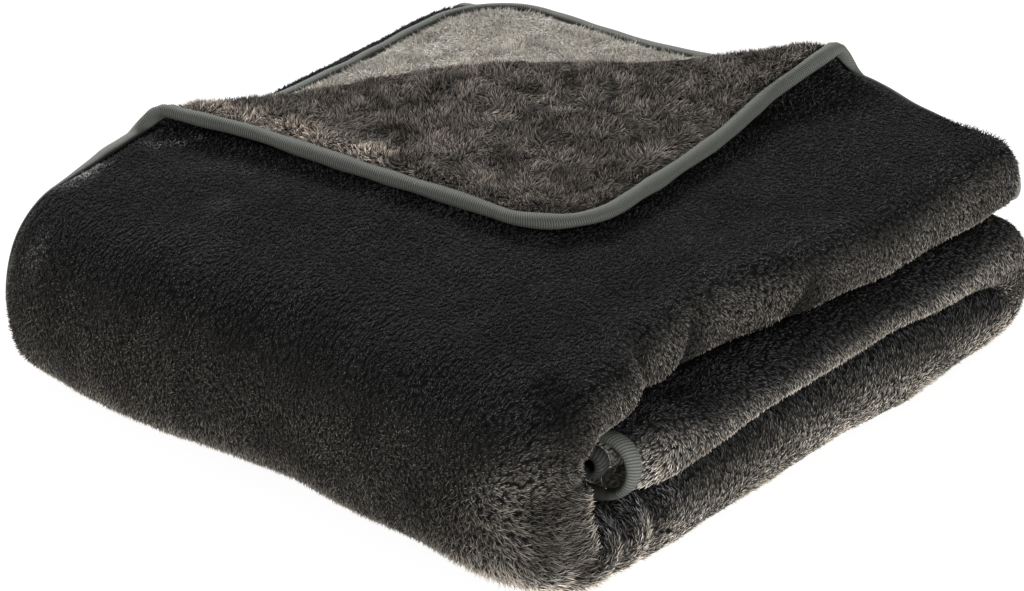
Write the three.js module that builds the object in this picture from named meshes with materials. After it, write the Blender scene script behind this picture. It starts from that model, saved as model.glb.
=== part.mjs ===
// Throw blanket, folded to a square stack with the far corner of its top layer turned back.
//
// The blanket is one rectangle of double-faced plush, short dark pile on one face and
// long light pile on the other, with a ribbed tape bound over its whole edge. Its length
// is folded in four, which gives a strip four layers thick, and the strip is folded in
// three. Both solids are laid out on the flat cloth and carried through the same folds,
// so the layers lie inside one another with air between them.
//
// Frame: millimetres, X along the big front fold, Y towards the back, Z up. The origin is
// the middle of the stack's footprint, on the surface that the stack lies on.
// On the flat cloth, "along" runs down the strip and "across" runs over its four layers.
import * as THREE from 'three';

// Driving dimensions
const CLOTH = {
  width: 1500,
  length: 1970,
  thickness: 10.3,
  cornerRadius: 60,
};
const LAYER_GAP = 1.3;
const TAPE = {
  cover: 9.8, // how far the tape reaches over the cloth
  thickness: 6.6,
  wall: 1.7,
  rounding: 2.6, // how far in from its outer edge the tape is round
  shoulder: 1.8, // how far its sewn lips slope down to the cloth
  clearance: 0.3,
  slotHeight: 3.6, // inside height of the folded tape
};
const HEM = {
  thickness: 1.8, // the cloth pressed flat inside the tape
  beyondTape: 0.8,
  halfSwelledAt: 17,
  swellAt: 24, // distance from the edge where the pile is full again
};
const TOP_OVERHANG = 40; // the strip's end on top reaches past the centre of the back fold
const INNER_SHORTFALL = 18; // its other end stops short of the centre of the front fold
// How far the second layer's free edge lies back on the left, and the inner fold on the right
const SET_BACK = { left: 16, right: 8 };
// The first layer's left edge is bent over the layers inside it, from the turned corner on.
const BENT_EDGE = {
  width: 28,
  radius: 22,
  drawnIn: 10,
  // Where along the strip the bend starts, is full, starts to fade and is gone
  starts: 390,
  full: 500,
  fades: 1030,
  ends: 1500,
};
const TURNED_CORNER = {
  along: 374, // where the turning line meets the two edges, from their corner
  across: 352,
  curlRadius: 9,
  stretch: 1.04, // the pile lets the turned corner creep a little
  settleOver: 130, // distance past the curl in which it comes down on the layer below
  restGap: 1.5,
};
// Where the turned corner's curl meets the two edges, it arches up and leans away.
const ARCH_WIDTH = 56;
const ARCHES = {
  left: { height: 4, lean: 8 },
  back: { height: 7, lean: 16 },
};
// The end of the top run hangs down over the back fold, to the right of the turned corner.
const DROOP = {
  pastBack: 14, // how far past the centre of the back fold it starts
  by: 14, // how low the end hangs
  from: 20, // where it starts and is full, in X from the middle of the stack
  full: 110,
};
const FRONT_CROWDING = 0.9; // the inner layers of the front fold puff up into its hollow

// Unevenness of the real stack.
// Along the strip: how far the rolls on the right and the edges on the left stand out.
const STRIP_COURSE = [
  { along: 0, right: 0, left: 0 },
  { along: 130, right: -17, left: 0 },
  { along: 230, right: -27, left: 0 },
  { along: 320, right: -40, left: 0 },
  { along: 440, right: -15, left: 5 },
  { along: 530, right: -10, left: 0 },
  { along: 700, right: -11, left: 0 },
  { along: 810, right: -6, left: 0 },
  { along: 920, right: 1, left: 0 },
  { along: 1060, right: 12, left: 0 },
  { along: 1130, right: 8, left: 0 },
  { along: 1290, right: 0, left: 0 },
  { along: 1440, right: -2, left: 0 },
  { along: 1500, right: -12, left: 0 },
];
const COURSE_PLACES = STRIP_COURSE.map((row) => row.along);
// Along the front fold, from left (-1) to right (1): how far it bulges out.
const FRONT_BULGE = [
  { at: -1, out: 0 },
  { at: -0.5, out: 5 },
  { at: 0, out: 0 },
  { at: 0.5, out: 10 },
  { at: 0.8, out: 20 },
  { at: 1, out: 10 },
];
// Share of its height by which the stack stands higher at these rows and columns.
const HEIGHT_CHANGE = [
  { row: 'front', left: -0.05, midLeft: -0.01, midRight: 0, right: 0.01 },
  { row: 'front middle', left: -0.01, midLeft: 0.01, midRight: 0.01, right: 0.05 },
  { row: 'back middle', left: -0.05, midLeft: 0.08, midRight: 0, right: -0.02 },
  { row: 'back', left: 0.03, midLeft: -0.02, midRight: 0.08, right: 0.03 },
];
const COLUMNS = ['left', 'midLeft', 'midRight', 'right'];
// How strongly each corner of the stack is drawn in.
const CORNER_DRAW_IN = { frontLeft: 0.07, frontRight: 0.05, backLeft: 0.07, backRight: 0.03 };
const DRAW_IN_POWER = 4;

// Number of facets
const STEPS = {
  panel: 6,
  run: 5,
  outerFold: 6,
  sharpFold: 4,
  frontFold: 10,
  backFold: 6,
  curl: 9,
  arch: 4,
  corner: 5,
};

// Sizes that follow from the driving dimensions
const pitch = CLOTH.thickness + LAYER_GAP;
const halfThickness = CLOTH.thickness / 2;
const lengthOfFolds = Math.PI * pitch * (1.5 + 0.5 + 0.5);
const panelLength = (CLOTH.length - lengthOfFolds + SET_BACK.left + 2 * SET_BACK.right) / 4;
const runLength = (CLOTH.width - TOP_OVERHANG + INNER_SHORTFALL - Math.PI * pitch * (4 + 2)) / 3;
const middleOfStack = 6 * pitch - LAYER_GAP / 2;
const halfStack = { x: panelLength / 2 + 1.5 * pitch, y: runLength / 2 + 5 * pitch };

// The fold in four, seen along the strip. Levels and radii are in pitches. A panel goes
// from one side to the other; a fold turns round a centre on one side. The dark face lies
// up on a panel, or outside on a fold, where face is 1, and the other way where it is -1.
const FOLD_IN_FOUR = [
  { part: 'top panel', level: 1.5, from: 'left', to: 'right', face: 1 },
  { part: 'outer fold', radius: 1.5, level: 0, at: 'right', side: 1, turn: -1, face: 1 },
  { part: 'bottom panel', level: -1.5, from: 'right', to: 'left', face: -1 },
  { part: 'left fold', radius: 0.5, level: -1, at: 'left', side: -1, turn: -1, face: 1 },
  { part: 'third panel', level: -0.5, from: 'left', to: 'innerRight', face: 1 },
  { part: 'inner fold', radius: 0.5, level: 0, at: 'innerRight', side: 1, turn: 1, face: -1 },
  { part: 'second panel', level: 0.5, from: 'innerRight', to: 'innerLeft', face: -1 },
];

// The fold in three, seen from the right.
const FOLD_IN_THREE = [
  { part: 'top run', level: 4, from: 'topEnd', to: 'front', face: 1 },
  {
    part: 'front fold',
    radius: 4,
    level: 0,
    at: 'front',
    side: -1,
    turn: 1,
    face: 1,
    crowding: FRONT_CROWDING,
  },
  { part: 'bottom run', level: -4, from: 'front', to: 'back', face: -1 },
  { part: 'back fold', radius: 2, level: -2, at: 'back', side: 1, turn: 1, face: 1 },
  { part: 'inner run', level: 0, from: 'back', to: 'innerEnd', face: 1 },
];
const RUN_PLACES = {
  front: 0,
  back: runLength,
  topEnd: runLength + TOP_OVERHANG,
  innerEnd: INNER_SHORTFALL,
};

function panelPlaces(left, right) {
  return { left, right, innerLeft: left + SET_BACK.left, innerRight: right - SET_BACK.right };
}

const PANEL_PLACES = panelPlaces(0, panelLength);

function lengthsOf(rows, places) {
  return rows.map((row) => (
    row.radius ? Math.PI * row.radius * pitch : Math.abs(places[row.to] - places[row.from])
  ));
}

const RUN_LENGTHS = lengthsOf(FOLD_IN_THREE, RUN_PLACES);
const PANEL_LENGTHS = lengthsOf(FOLD_IN_FOUR, PANEL_PLACES);

function runningTotal(lengths) {
  const ends = [0];
  for (const length of lengths) ends.push(ends[ends.length - 1] + length);
  return ends;
}

const RUN_STARTS = runningTotal(RUN_LENGTHS);
const PANEL_STARTS = runningTotal(PANEL_LENGTHS);
const EDGE = {
  along: RUN_STARTS[FOLD_IN_THREE.length],
  across: PANEL_STARTS[FOLD_IN_FOUR.length],
};

function clamp(value, low, high) {
  return Math.min(Math.max(value, low), high);
}

function ease(share) {
  const f = clamp(share, 0, 1);
  return f * f * (3 - 2 * f);
}

// Value between the rows of a table, eased from each row to the next.
function between(rows, places, column, place) {
  let i = 0;
  while (i < rows.length - 2 && place > places[i + 1]) i += 1;
  const share = ease((place - places[i]) / (places[i + 1] - places[i]));
  return rows[i][column] + (rows[i + 1][column] - rows[i][column]) * share;
}

function spanAt(starts, distance) {
  let i = 0;
  while (i < starts.length - 2 && distance > starts[i + 1]) i += 1;
  return i;
}

// Where a point at this distance through a fold lies: its place and its level, both in
// the plane of the fold. Offset is its distance from the middle of the sheet, towards
// the face that the first row has on top.
function walkFold(rows, starts, places, distance, offset) {
  const i = spanAt(starts, distance);
  const row = rows[i];
  const share = (distance - starts[i]) / (starts[i + 1] - starts[i]);
  const rise = row.face * offset;
  if (!row.radius) {
    const place = places[row.from] + (places[row.to] - places[row.from]) * share;
    return { place, level: row.level * pitch + rise };
  }
  const angle = Math.PI * (-row.side * row.turn * 0.5 + row.turn * share);
  const crowding = rise < 0 && row.crowding ? row.crowding * Math.sin(Math.PI * share) ** 2 : 0;
  const radius = row.radius * pitch + rise * (1 + crowding);
  return {
    place: places[row.at] + radius * Math.cos(angle),
    level: row.level * pitch + radius * Math.sin(angle),
  };
}

// The turning line on the flat cloth, as its unit normal towards the corner
const lineSlope = Math.hypot(1 / TURNED_CORNER.along, 1 / TURNED_CORNER.across);
const toCorner = {
  along: 1 / TURNED_CORNER.along / lineSlope,
  across: 1 / TURNED_CORNER.across / lineSlope,
};
const curlLength = Math.PI * TURNED_CORNER.curlRadius;

function pastTurningLine(along, across) {
  const reach = 1 - along / TURNED_CORNER.along - across / TURNED_CORNER.across;
  return reach / lineSlope;
}

// How far along the turning line a point lies, from the left edge (0) to the back edge (1)
function alongTurningLine(past, across) {
  return (across + toCorner.across * past) / TURNED_CORNER.across;
}

// Lifts the top layer into an arch at either end of the turning line.
function archUp(point, distance, placeOnLine) {
  const lifted = ease(1 - distance / ARCH_WIDTH);
  const left = lifted * ease(1 - 2 * placeOnLine);
  const back = lifted * ease(2 * placeOnLine - 1);
  return {
    x: point.x + back * ARCHES.back.lean,
    y: point.y - left * ARCHES.left.lean,
    z: point.z + left * ARCHES.left.height + back * ARCHES.back.height,
  };
}

// Rolls the corner of the top layer over the turning line and lays it back.
function turnCorner(point, past, offset) {
  const { curlRadius, settleOver, restGap, stretch } = TURNED_CORNER;
  const angle = Math.min(past / curlRadius, Math.PI);
  const flat = Math.max(past - curlLength, 0);
  const reach = (curlRadius - offset) * Math.sin(angle) - flat * stretch;
  const middle = curlRadius * (1 - Math.cos(angle));
  const settled = ease(flat / settleOver);
  const rise = middle * (1 - settled) + (pitch + restGap) * settled + offset * Math.cos(angle);
  return {
    x: point.x + toCorner.across * (past - reach),
    y: point.y - toCorner.along * (past - reach),
    z: point.z - offset + rise,
  };
}

// How far the top run hangs down here. It hangs lower towards its end.
function droop(x, y) {
  const reach = (y - runLength / 2 - pitch - DROOP.pastBack) / (TOP_OVERHANG - DROOP.pastBack);
  return DROOP.by * Math.max(reach, 0) ** 2 * ease((x - DROOP.from) / (DROOP.full - DROOP.from));
}

// Gives the square stack its drawn-in corners, its bulging front and its uneven height.
function settle(point) {
  const u = point.x / halfStack.x;
  const v = point.y / halfStack.y;
  const right = clamp((u + 1) / 2, 0, 1);
  const back = clamp((v + 1) / 2, 0, 1);
  const { frontLeft, frontRight, backLeft, backRight } = CORNER_DRAW_IN;
  const drawIn = (1 - back) * ((1 - right) * frontLeft + right * frontRight)
    + back * ((1 - right) * backLeft + right * backRight);
  const bulgePlaces = FRONT_BULGE.map((row) => row.at);
  const bulge = between(FRONT_BULGE, bulgePlaces, 'out', u) * ease((0.2 - v) / 1.2);
  const columnPlaces = COLUMNS.map((_, i) => -1 + (2 * i) / (COLUMNS.length - 1));
  const rowHeights = HEIGHT_CHANGE.map((row) => ({
    change: between(COLUMNS.map((name) => ({ value: row[name] })), columnPlaces, 'value', u),
  }));
  const change = between(rowHeights, columnPlaces, 'change', v);
  return {
    x: point.x * (1 - drawIn * Math.abs(v) ** DRAW_IN_POWER),
    y: point.y * (1 - drawIn * Math.abs(u) ** DRAW_IN_POWER) - bulge,
    z: point.z * (1 + change),
  };
}

// Share of the full bend that the top panel's left edge has here.
function bentShare(along) {
  const { starts, full, fades, ends } = BENT_EDGE;
  return ease((along - starts) / (full - starts)) * ease((ends - along) / (ends - fades));
}

// The top panel, in the plane of the fold in four, with its left edge bent down.
function topPanel(along, across, offset, places) {
  const share = bentShare(along);
  const start = places.left + BENT_EDGE.width - BENT_EDGE.drawnIn * share;
  const level = FOLD_IN_FOUR[0].level * pitch;
  if (across >= BENT_EDGE.width) {
    const straight = (across - BENT_EDGE.width) / (PANEL_STARTS[1] - BENT_EDGE.width);
    return { place: start + (places.right - start) * straight, level: level + offset };
  }
  const width = BENT_EDGE.width - across;
  if (share < 0.001) return { place: start - width, level: level + offset };
  const radius = BENT_EDGE.radius / share;
  const angle = width / radius;
  return {
    place: start - (radius + offset) * Math.sin(angle),
    level: level - radius + (radius + offset) * Math.cos(angle),
  };
}

// A point of the flat cloth, and its offset towards the dark face, in the folded stack.
function foldedPoint(along, across, offset) {
  const places = panelPlaces(
    between(STRIP_COURSE, COURSE_PLACES, 'left', along),
    panelLength + between(STRIP_COURSE, COURSE_PLACES, 'right', along),
  );
  const inFour = across < PANEL_STARTS[1]
    ? topPanel(along, across, offset, places)
    : walkFold(FOLD_IN_FOUR, PANEL_STARTS, places, across, offset);
  const inThree = walkFold(FOLD_IN_THREE, RUN_STARTS, RUN_PLACES, along, inFour.level);
  let point = {
    x: inFour.place - (panelLength + pitch) / 2,
    y: inThree.place - runLength / 2 + pitch,
    z: inThree.level + middleOfStack,
  };
  if (across < PANEL_STARTS[1] && along < RUN_STARTS[1]) {
    const past = pastTurningLine(along, across);
    if (past > 0) point = turnCorner(point, past, offset);
    const distance = Math.max(-past, (past - curlLength) * TURNED_CORNER.stretch, 0);
    point = archUp(point, distance, alongTurningLine(past, across));
  }
  if (along < RUN_STARTS[1]) point.z -= droop(point.x, point.y);
  point = settle(point);
  return [point.x, point.y, point.z];
}

// Distance from the cloth's cut edge, with its rounded corners.
function fromEdge(along, across) {
  const a = Math.min(along, EDGE.along - along);
  const b = Math.min(across, EDGE.across - across);
  const r = CLOTH.cornerRadius;
  if (a < r && b < r) return r - Math.hypot(r - a, r - b);
  return Math.min(a, b);
}

const rimInset = TAPE.wall + TAPE.clearance;
const hemInset = TAPE.cover + HEM.beyondTape;

// Half the cloth's thickness: pressed flat under the tape, full a little way in.
function halfThicknessAt(along, across) {
  const share = (fromEdge(along, across) - hemInset) / (HEM.swellAt - hemInset);
  const hem = HEM.thickness / 2;
  return hem + (halfThickness - hem) * clamp(share, 0, 1);
}

// Pattern lines. The same lines in plan serve every layer, so that the facets of one
// layer lie parallel to those of the next.
const EDGE_INSETS = [rimInset, hemInset, HEM.halfSwelledAt, HEM.swellAt, CLOTH.cornerRadius];

function evenSteps(from, to, count) {
  return Array.from({ length: count + 1 }, (_, i) => from + ((to - from) * i) / count);
}

function linesThrough(rows, starts, places, planLines, foldSteps, total) {
  const lines = [];
  rows.forEach((row, i) => {
    const span = starts[i + 1] - starts[i];
    if (row.radius) {
      lines.push(...evenSteps(starts[i], starts[i + 1], foldSteps[row.part]));
      return;
    }
    for (const line of planLines) {
      const share = (line - places[row.from]) / (places[row.to] - places[row.from]);
      if (share > -1e-9 && share < 1 + 1e-9) lines.push(starts[i] + share * span);
    }
  });
  const inner = CLOTH.cornerRadius - 1e-6;
  const kept = lines.filter((line) => line > inner && line < total - inner);
  for (const inset of EDGE_INSETS) kept.push(inset, total - inset);
  kept.sort((a, b) => a - b);
  return kept.filter((line, i) => i === 0 || line - kept[i - 1] > 1e-3);
}

const panelLines = [
  0,
  HEM.swellAt,
  ...evenSteps(CLOTH.cornerRadius, panelLength - SET_BACK.right, STEPS.panel),
];
const runLines = [
  0,
  INNER_SHORTFALL + HEM.swellAt,
  RUN_PLACES.topEnd - BENT_EDGE.starts,
  ...evenSteps(
    INNER_SHORTFALL + CLOTH.cornerRadius,
    runLength + TOP_OVERHANG - CLOTH.cornerRadius,
    STEPS.run,
  ),
  runLength,
];
const acrossLines = linesThrough(
  FOLD_IN_FOUR,
  PANEL_STARTS,
  PANEL_PLACES,
  panelLines,
  { 'outer fold': STEPS.outerFold, 'left fold': STEPS.sharpFold, 'inner fold': STEPS.sharpFold },
  EDGE.across,
);
const alongLines = linesThrough(
  FOLD_IN_THREE,
  RUN_STARTS,
  RUN_PLACES,
  runLines,
  { 'front fold': STEPS.frontFold, 'back fold': STEPS.backFold },
  EDGE.along,
);

// The cloth's corners, as the centre of each rounding and the way to the corner
const CORNERS = [
  { name: 'turned back', alongSide: -1, acrossSide: -1 },
  { name: 'inside, left', alongSide: 1, acrossSide: -1 },
  { name: 'inside, second layer', alongSide: 1, acrossSide: 1 },
  { name: 'top, second layer', alongSide: -1, acrossSide: 1 },
];

function cornerPoint(corner, angle, inset) {
  const r = CLOTH.cornerRadius;
  const along = corner.alongSide < 0 ? r : EDGE.along - r;
  const across = corner.acrossSide < 0 ? r : EDGE.across - r;
  return [
    along + corner.alongSide * (r - inset) * Math.cos(angle),
    across + corner.acrossSide * (r - inset) * Math.sin(angle),
  ];
}

// Puts a cell's points in counterclockwise order on the flat cloth.
function counterclockwise(cell) {
  let area = 0;
  cell.forEach(([a, b], i) => {
    const [c, d] = cell[(i + 1) % cell.length];
    area += a * d - b * c;
  });
  return area < 0 ? [...cell].reverse() : cell;
}

function headingAt(rows, starts, places, distance) {
  let i = spanAt(starts, distance);
  if (rows[i].radius) i -= 1;
  return Math.sign(places[rows[i].to] - places[rows[i].from]);
}

// Whether a diagonal of the flat cloth runs the way in plan that all diagonals take. With
// one way for all, the facets of neighbouring layers never cross.
function runsTheCommonWay([along, across], [nextAlong, nextAcross]) {
  const way = headingAt(FOLD_IN_THREE, RUN_STARTS, RUN_PLACES, (along + nextAlong) / 2)
    * headingAt(FOLD_IN_FOUR, PANEL_STARTS, PANEL_PLACES, (across + nextAcross) / 2);
  return way * (nextAlong - along) * (nextAcross - across) > 0;
}

// Cells between the pattern lines, each turned so that its first diagonal is the common one
function squareCells() {
  const cells = [];
  const r = CLOTH.cornerRadius;
  for (let i = 0; i < alongLines.length - 1; i += 1) {
    for (let j = 0; j < acrossLines.length - 1; j += 1) {
      const [a0, a1] = [alongLines[i], alongLines[i + 1]];
      const [c0, c1] = [acrossLines[j], acrossLines[j + 1]];
      const middle = [(a0 + a1) / 2, (c0 + c1) / 2];
      const atEnd = Math.min(middle[0], EDGE.along - middle[0]) < r;
      const atSide = Math.min(middle[1], EDGE.across - middle[1]) < r;
      if (atEnd && atSide) continue;
      const corners = [[a0, c0], [a1, c0], [a1, c1], [a0, c1]];
      const turned = !runsTheCommonWay(corners[0], corners[2]);
      cells.push(turned ? [...corners.slice(1), corners[0]] : corners);
    }
  }
  return cells;
}

function cornerCells(corner) {
  const cells = [];
  const angles = evenSteps(0, Math.PI / 2, STEPS.corner);
  for (let i = 0; i < STEPS.corner; i += 1) {
    for (let k = 0; k < EDGE_INSETS.length - 1; k += 1) {
      const [outer, inner] = [EDGE_INSETS[k], EDGE_INSETS[k + 1]];
      const cell = [
        cornerPoint(corner, angles[i], outer),
        cornerPoint(corner, angles[i + 1], outer),
        cornerPoint(corner, angles[i + 1], inner),
      ];
      if (inner < CLOTH.cornerRadius) cell.push(cornerPoint(corner, angles[i], inner));
      cells.push(counterclockwise(cell));
    }
  }
  return cells;
}

// Cuts a cell in two along a line at this distance past the turning line.
function cutCell(cell, distance) {
  const past = cell.map(([along, across]) => pastTurningLine(along, across) - distance);
  if (past.every((d) => d > -1e-6) || past.every((d) => d < 1e-6)) return [cell];
  const sides = [[], []];
  cell.forEach((point, i) => {
    const next = cell[(i + 1) % cell.length];
    const [d, e] = [past[i], past[(i + 1) % cell.length]];
    if (d > -1e-6) sides[0].push(point);
    if (d < 1e-6) sides[1].push(point);
    if ((d > 1e-6 && e < -1e-6) || (d < -1e-6 && e > 1e-6)) {
      const f = d / (d - e);
      const cut = [point[0] + (next[0] - point[0]) * f, point[1] + (next[1] - point[1]) * f];
      sides[0].push(cut);
      sides[1].push(cut);
    }
  });
  return sides;
}

// More lines beside the curl, where its arches rise
const ARCH_LINES = evenSteps(0, ARCH_WIDTH, STEPS.arch).slice(1).flatMap((distance) => (
  [-distance, curlLength + distance]
));

function patternCells() {
  let cells = [...squareCells(), ...CORNERS.flatMap(cornerCells)];
  const curlLines = evenSteps(0, curlLength, STEPS.curl);
  for (const distance of [...ARCH_LINES, ...curlLines]) {
    cells = cells.flatMap((cell) => {
      const onTopLayer = cell.every(([along, across]) => (
        along < RUN_STARTS[1] + 1e-6 && across < PANEL_STARTS[1] + 1e-6
      ));
      return onTopLayer ? cutCell(cell, distance) : [cell];
    });
  }
  return cells;
}

function geometryFrom(points, triangles) {
  const geometry = new THREE.BufferGeometry();
  geometry.setAttribute('position', new THREE.Float32BufferAttribute(points.flat(), 3));
  geometry.setIndex(triangles.flat());
  geometry.computeVertexNormals();
  return geometry;
}

// The cloth: its dark face, its light face and the rim that joins them.
function clothGeometry() {
  const points = [];
  const triangles = [];
  const numbers = new Map();
  const vertex = ([along, across]) => {
    const key = `${along.toFixed(3)} ${across.toFixed(3)}`;
    if (!numbers.has(key)) {
      const half = halfThicknessAt(along, across);
      numbers.set(key, points.length);
      points.push(foldedPoint(along, across, half), foldedPoint(along, across, -half));
    }
    return numbers.get(key);
  };
  const openSides = new Map();
  for (const cell of patternCells()) {
    const dark = cell.map(vertex);
    for (let i = 1; i < dark.length - 1; i += 1) {
      triangles.push([dark[0], dark[i], dark[i + 1]]);
      triangles.push([dark[0] + 1, dark[i + 1] + 1, dark[i] + 1]);
    }
    dark.forEach((a, i) => {
      const b = dark[(i + 1) % dark.length];
      if (openSides.has(`${b} ${a}`)) openSides.delete(`${b} ${a}`);
      else openSides.set(`${a} ${b}`, [a, b]);
    });
  }
  for (const [a, b] of openSides.values()) {
    triangles.push([b, a, a + 1], [b, a + 1, b + 1]);
  }
  return geometryFrom(points, triangles);
}

// Stations of the tape down one edge: the pattern lines, and lines on the curl. There the
// tape's section lies along the turning line instead of square to the edge. It keeps that
// slant for a little way on either side, and then turns back to square.
const SLANT_KEPT = 30;
const SLANT_FADE = 60;
const CURL_MARGIN = 2;

function edgeStations(lines, total, curlEdge) {
  const r = CLOTH.cornerRadius;
  const places = lines.filter((line) => line >= r - 1e-6 && line <= total - r + 1e-6);
  if (!curlEdge) return places.map((place) => ({ place, slant: 0 }));
  const toPlace = (past) => curlEdge.length * (1 - past * lineSlope);
  const onCurl = evenSteps(0, curlLength, STEPS.curl).map(toPlace);
  const first = Math.min(...onCurl) - CURL_MARGIN;
  const last = Math.max(...onCurl) + CURL_MARGIN;
  const beside = ARCH_LINES.map(toPlace);
  const clear = [...places, ...beside].filter((place) => place < first || place > last);
  return [...clear, ...onCurl].sort((a, b) => a - b).map((place) => {
    const away = Math.max(first - place, place - last) - SLANT_KEPT;
    return { place, slant: curlEdge.slant * clamp(1 - away / SLANT_FADE, 0, 1) };
  });
}

// One lap of the tape's stations round the cloth. Each has a function from a distance
// inside the cloth's edge to a point of the flat cloth.
function tapeStations() {
  const lap = [];
  const cornerAt = (corner, angles) => {
    for (const angle of angles) lap.push({ at: (inset) => cornerPoint(corner, angle, inset) });
  };
  const inner = evenSteps(0, Math.PI / 2, STEPS.corner).slice(1, -1);
  const outward = [...inner].reverse();
  const { along, across } = TURNED_CORNER;
  const leftEdge = edgeStations(alongLines, EDGE.along, { length: along, slant: -along / across });
  for (const { place, slant } of leftEdge) {
    lap.push({ slant, at: (inset) => [place + slant * inset, inset] });
  }
  cornerAt(CORNERS[1], outward);
  for (const { place } of edgeStations(acrossLines, EDGE.across)) {
    lap.push({ at: (inset) => [EDGE.along - inset, place] });
  }
  cornerAt(CORNERS[2], inner);
  for (const { place } of edgeStations(alongLines, EDGE.along).reverse()) {
    lap.push({ at: (inset) => [place, EDGE.across - inset] });
  }
  cornerAt(CORNERS[3], outward);
  const onEdge = { length: across, slant: -across / along };
  for (const { place, slant } of edgeStations(acrossLines, EDGE.across, onEdge).reverse()) {
    lap.push({ slant, at: (inset) => [inset, place + slant * inset] });
  }
  cornerAt(CORNERS[0], inner);
  return lap;
}

// The tape's section, as distance inside the cloth's edge and height over its middle:
// folded over the edge, round outside, with a slot that the cloth lies in.
const tapeHalf = TAPE.thickness / 2;
const slotHalf = TAPE.slotHeight / 2;
const TAPE_SECTION = [
  [TAPE.cover, slotHalf],
  [TAPE.cover - TAPE.shoulder, tapeHalf],
  [TAPE.rounding, tapeHalf],
  [0, tapeHalf / 2],
  [0, -tapeHalf / 2],
  [TAPE.rounding, -tapeHalf],
  [TAPE.cover - TAPE.shoulder, -tapeHalf],
  [TAPE.cover, -slotHalf],
  [TAPE.wall, -slotHalf],
  [TAPE.wall, slotHalf],
];

function tapeGeometry() {
  const stations = tapeStations();
  const size = TAPE_SECTION.length;
  const points = stations.flatMap((station) => (
    TAPE_SECTION.map(([inset, height]) => foldedPoint(...station.at(inset), height))
  ));
  const triangles = [];
  stations.forEach((station, i) => {
    const j = (i + 1) % stations.length;
    const [here, next] = [i * size, j * size];
    for (let k = 0; k < size; k += 1) {
      const m = (k + 1) % size;
      const ends = [station.at(TAPE_SECTION[k][0]), stations[j].at(TAPE_SECTION[m][0])];
      if (station.slant || runsTheCommonWay(...ends)) {
        triangles.push([here + k, next + m, next + k], [here + k, here + m, next + m]);
      } else {
        triangles.push([here + k, here + m, next + k], [here + m, next + m, next + k]);
      }
    }
  });
  return geometryFrom(points, triangles);
}

function sewnPiece(name, geometry, material) {
  const mesh = new THREE.Mesh(geometry, material);
  mesh.name = name;
  return mesh;
}

const plush = new THREE.MeshStandardMaterial({ color: '#2c2a29', roughness: 0.95, metalness: 0 });
const ribbedTape = new THREE.MeshStandardMaterial({ color: '#6d6f69', roughness: 0.8, metalness: 0 });

const blanket = new THREE.Group();
blanket.add(sewnPiece('blanket_cloth', clothGeometry(), plush));
blanket.add(sewnPiece('edge_tape', tapeGeometry(), ribbedTape));

// Centre the footprint on the origin.
const box = new THREE.Box3().setFromObject(blanket);
for (const mesh of blanket.children) {
  mesh.geometry.translate(-(box.min.x + box.max.x) / 2, -(box.min.y + box.max.y) / 2, 0);
}

export default blanket;
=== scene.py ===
# %% [markdown]
# # A plush throw blanket, folded in a stack
#
# The real object is one rectangle of double-faced plush, about 1.5 m by 2 m, with a ribbed
# tape bound over its edge. It is folded in four, then in three, and one corner of the top
# layer is turned back to show the light face. The CAD model already has these folds, so
# this lesson repeats them on a finer mesh and gives the cloth what CAD leaves out: the
# pile, the soft creases and the ribs of the tape.

import math

import bmesh
import bpy
import numpy as np
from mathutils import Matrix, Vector, noise
from mathutils.bvhtree import BVHTree
from mathutils.kdtree import KDTree


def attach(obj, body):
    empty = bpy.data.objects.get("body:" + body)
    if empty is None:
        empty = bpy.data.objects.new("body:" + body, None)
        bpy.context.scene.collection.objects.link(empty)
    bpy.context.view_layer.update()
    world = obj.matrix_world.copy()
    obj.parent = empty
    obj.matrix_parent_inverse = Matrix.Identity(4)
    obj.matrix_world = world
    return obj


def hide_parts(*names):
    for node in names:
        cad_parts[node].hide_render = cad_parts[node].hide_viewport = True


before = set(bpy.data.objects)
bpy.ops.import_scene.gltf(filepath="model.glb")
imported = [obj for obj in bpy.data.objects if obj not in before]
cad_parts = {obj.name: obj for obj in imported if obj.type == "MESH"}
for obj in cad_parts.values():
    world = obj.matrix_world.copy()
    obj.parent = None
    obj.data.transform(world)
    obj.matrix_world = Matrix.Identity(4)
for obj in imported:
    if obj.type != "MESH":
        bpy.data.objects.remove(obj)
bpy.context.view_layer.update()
MM = 0.001

# %% [markdown]
# ## The camera
#
# The photograph was taken from a good way off with a long lens, a little to the right of
# the blanket's front. The camera comes first, so that every look at the work in hand is
# the photograph's own view.

# %% Camera
VIEW = {"azimuth": 38.1, "elevation": 27.1, "distance": 2.466, "lens": 128.8}
VIEW_CENTRE = Vector((0.0004, 0.0052, 0.0435))


def put_in_scene(name, data):
    """Makes an object of a mesh, camera or light, and links it to the scene."""
    thing = bpy.data.objects.new(name, data)
    bpy.context.scene.collection.objects.link(thing)
    return thing


def photograph_camera():
    azimuth = math.radians(VIEW["azimuth"])
    elevation = math.radians(VIEW["elevation"])
    away = Vector((
        math.sin(azimuth) * math.cos(elevation),
        -math.cos(azimuth) * math.cos(elevation),
        math.sin(elevation),
    ))
    lens = bpy.data.cameras.new("photograph_camera")
    lens.lens = VIEW["lens"]
    lens.sensor_width = 36
    lens.clip_end = 50
    camera = put_in_scene("photograph_camera", lens)
    camera.location = VIEW_CENTRE + away * VIEW["distance"]
    camera.rotation_euler = away.to_track_quat("Z", "Y").to_euler()
    bpy.context.scene.camera = camera


photograph_camera()
print("camera", VIEW)

# %% [markdown]
# ## The blanket's own sizes
#
# They are in millimetres, and repeat the CAD model's, because this file can't read the
# other one. Only the tape's cover, the course of the rolls and the heights where two rolls
# meet are set a few millimetres nearer to the photograph. A pitch is the way from one layer
# to the next: the cloth and the air over it. For the bent edge, the droop and the pinched
# end, a pair says where the change begins and where it is full.

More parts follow.
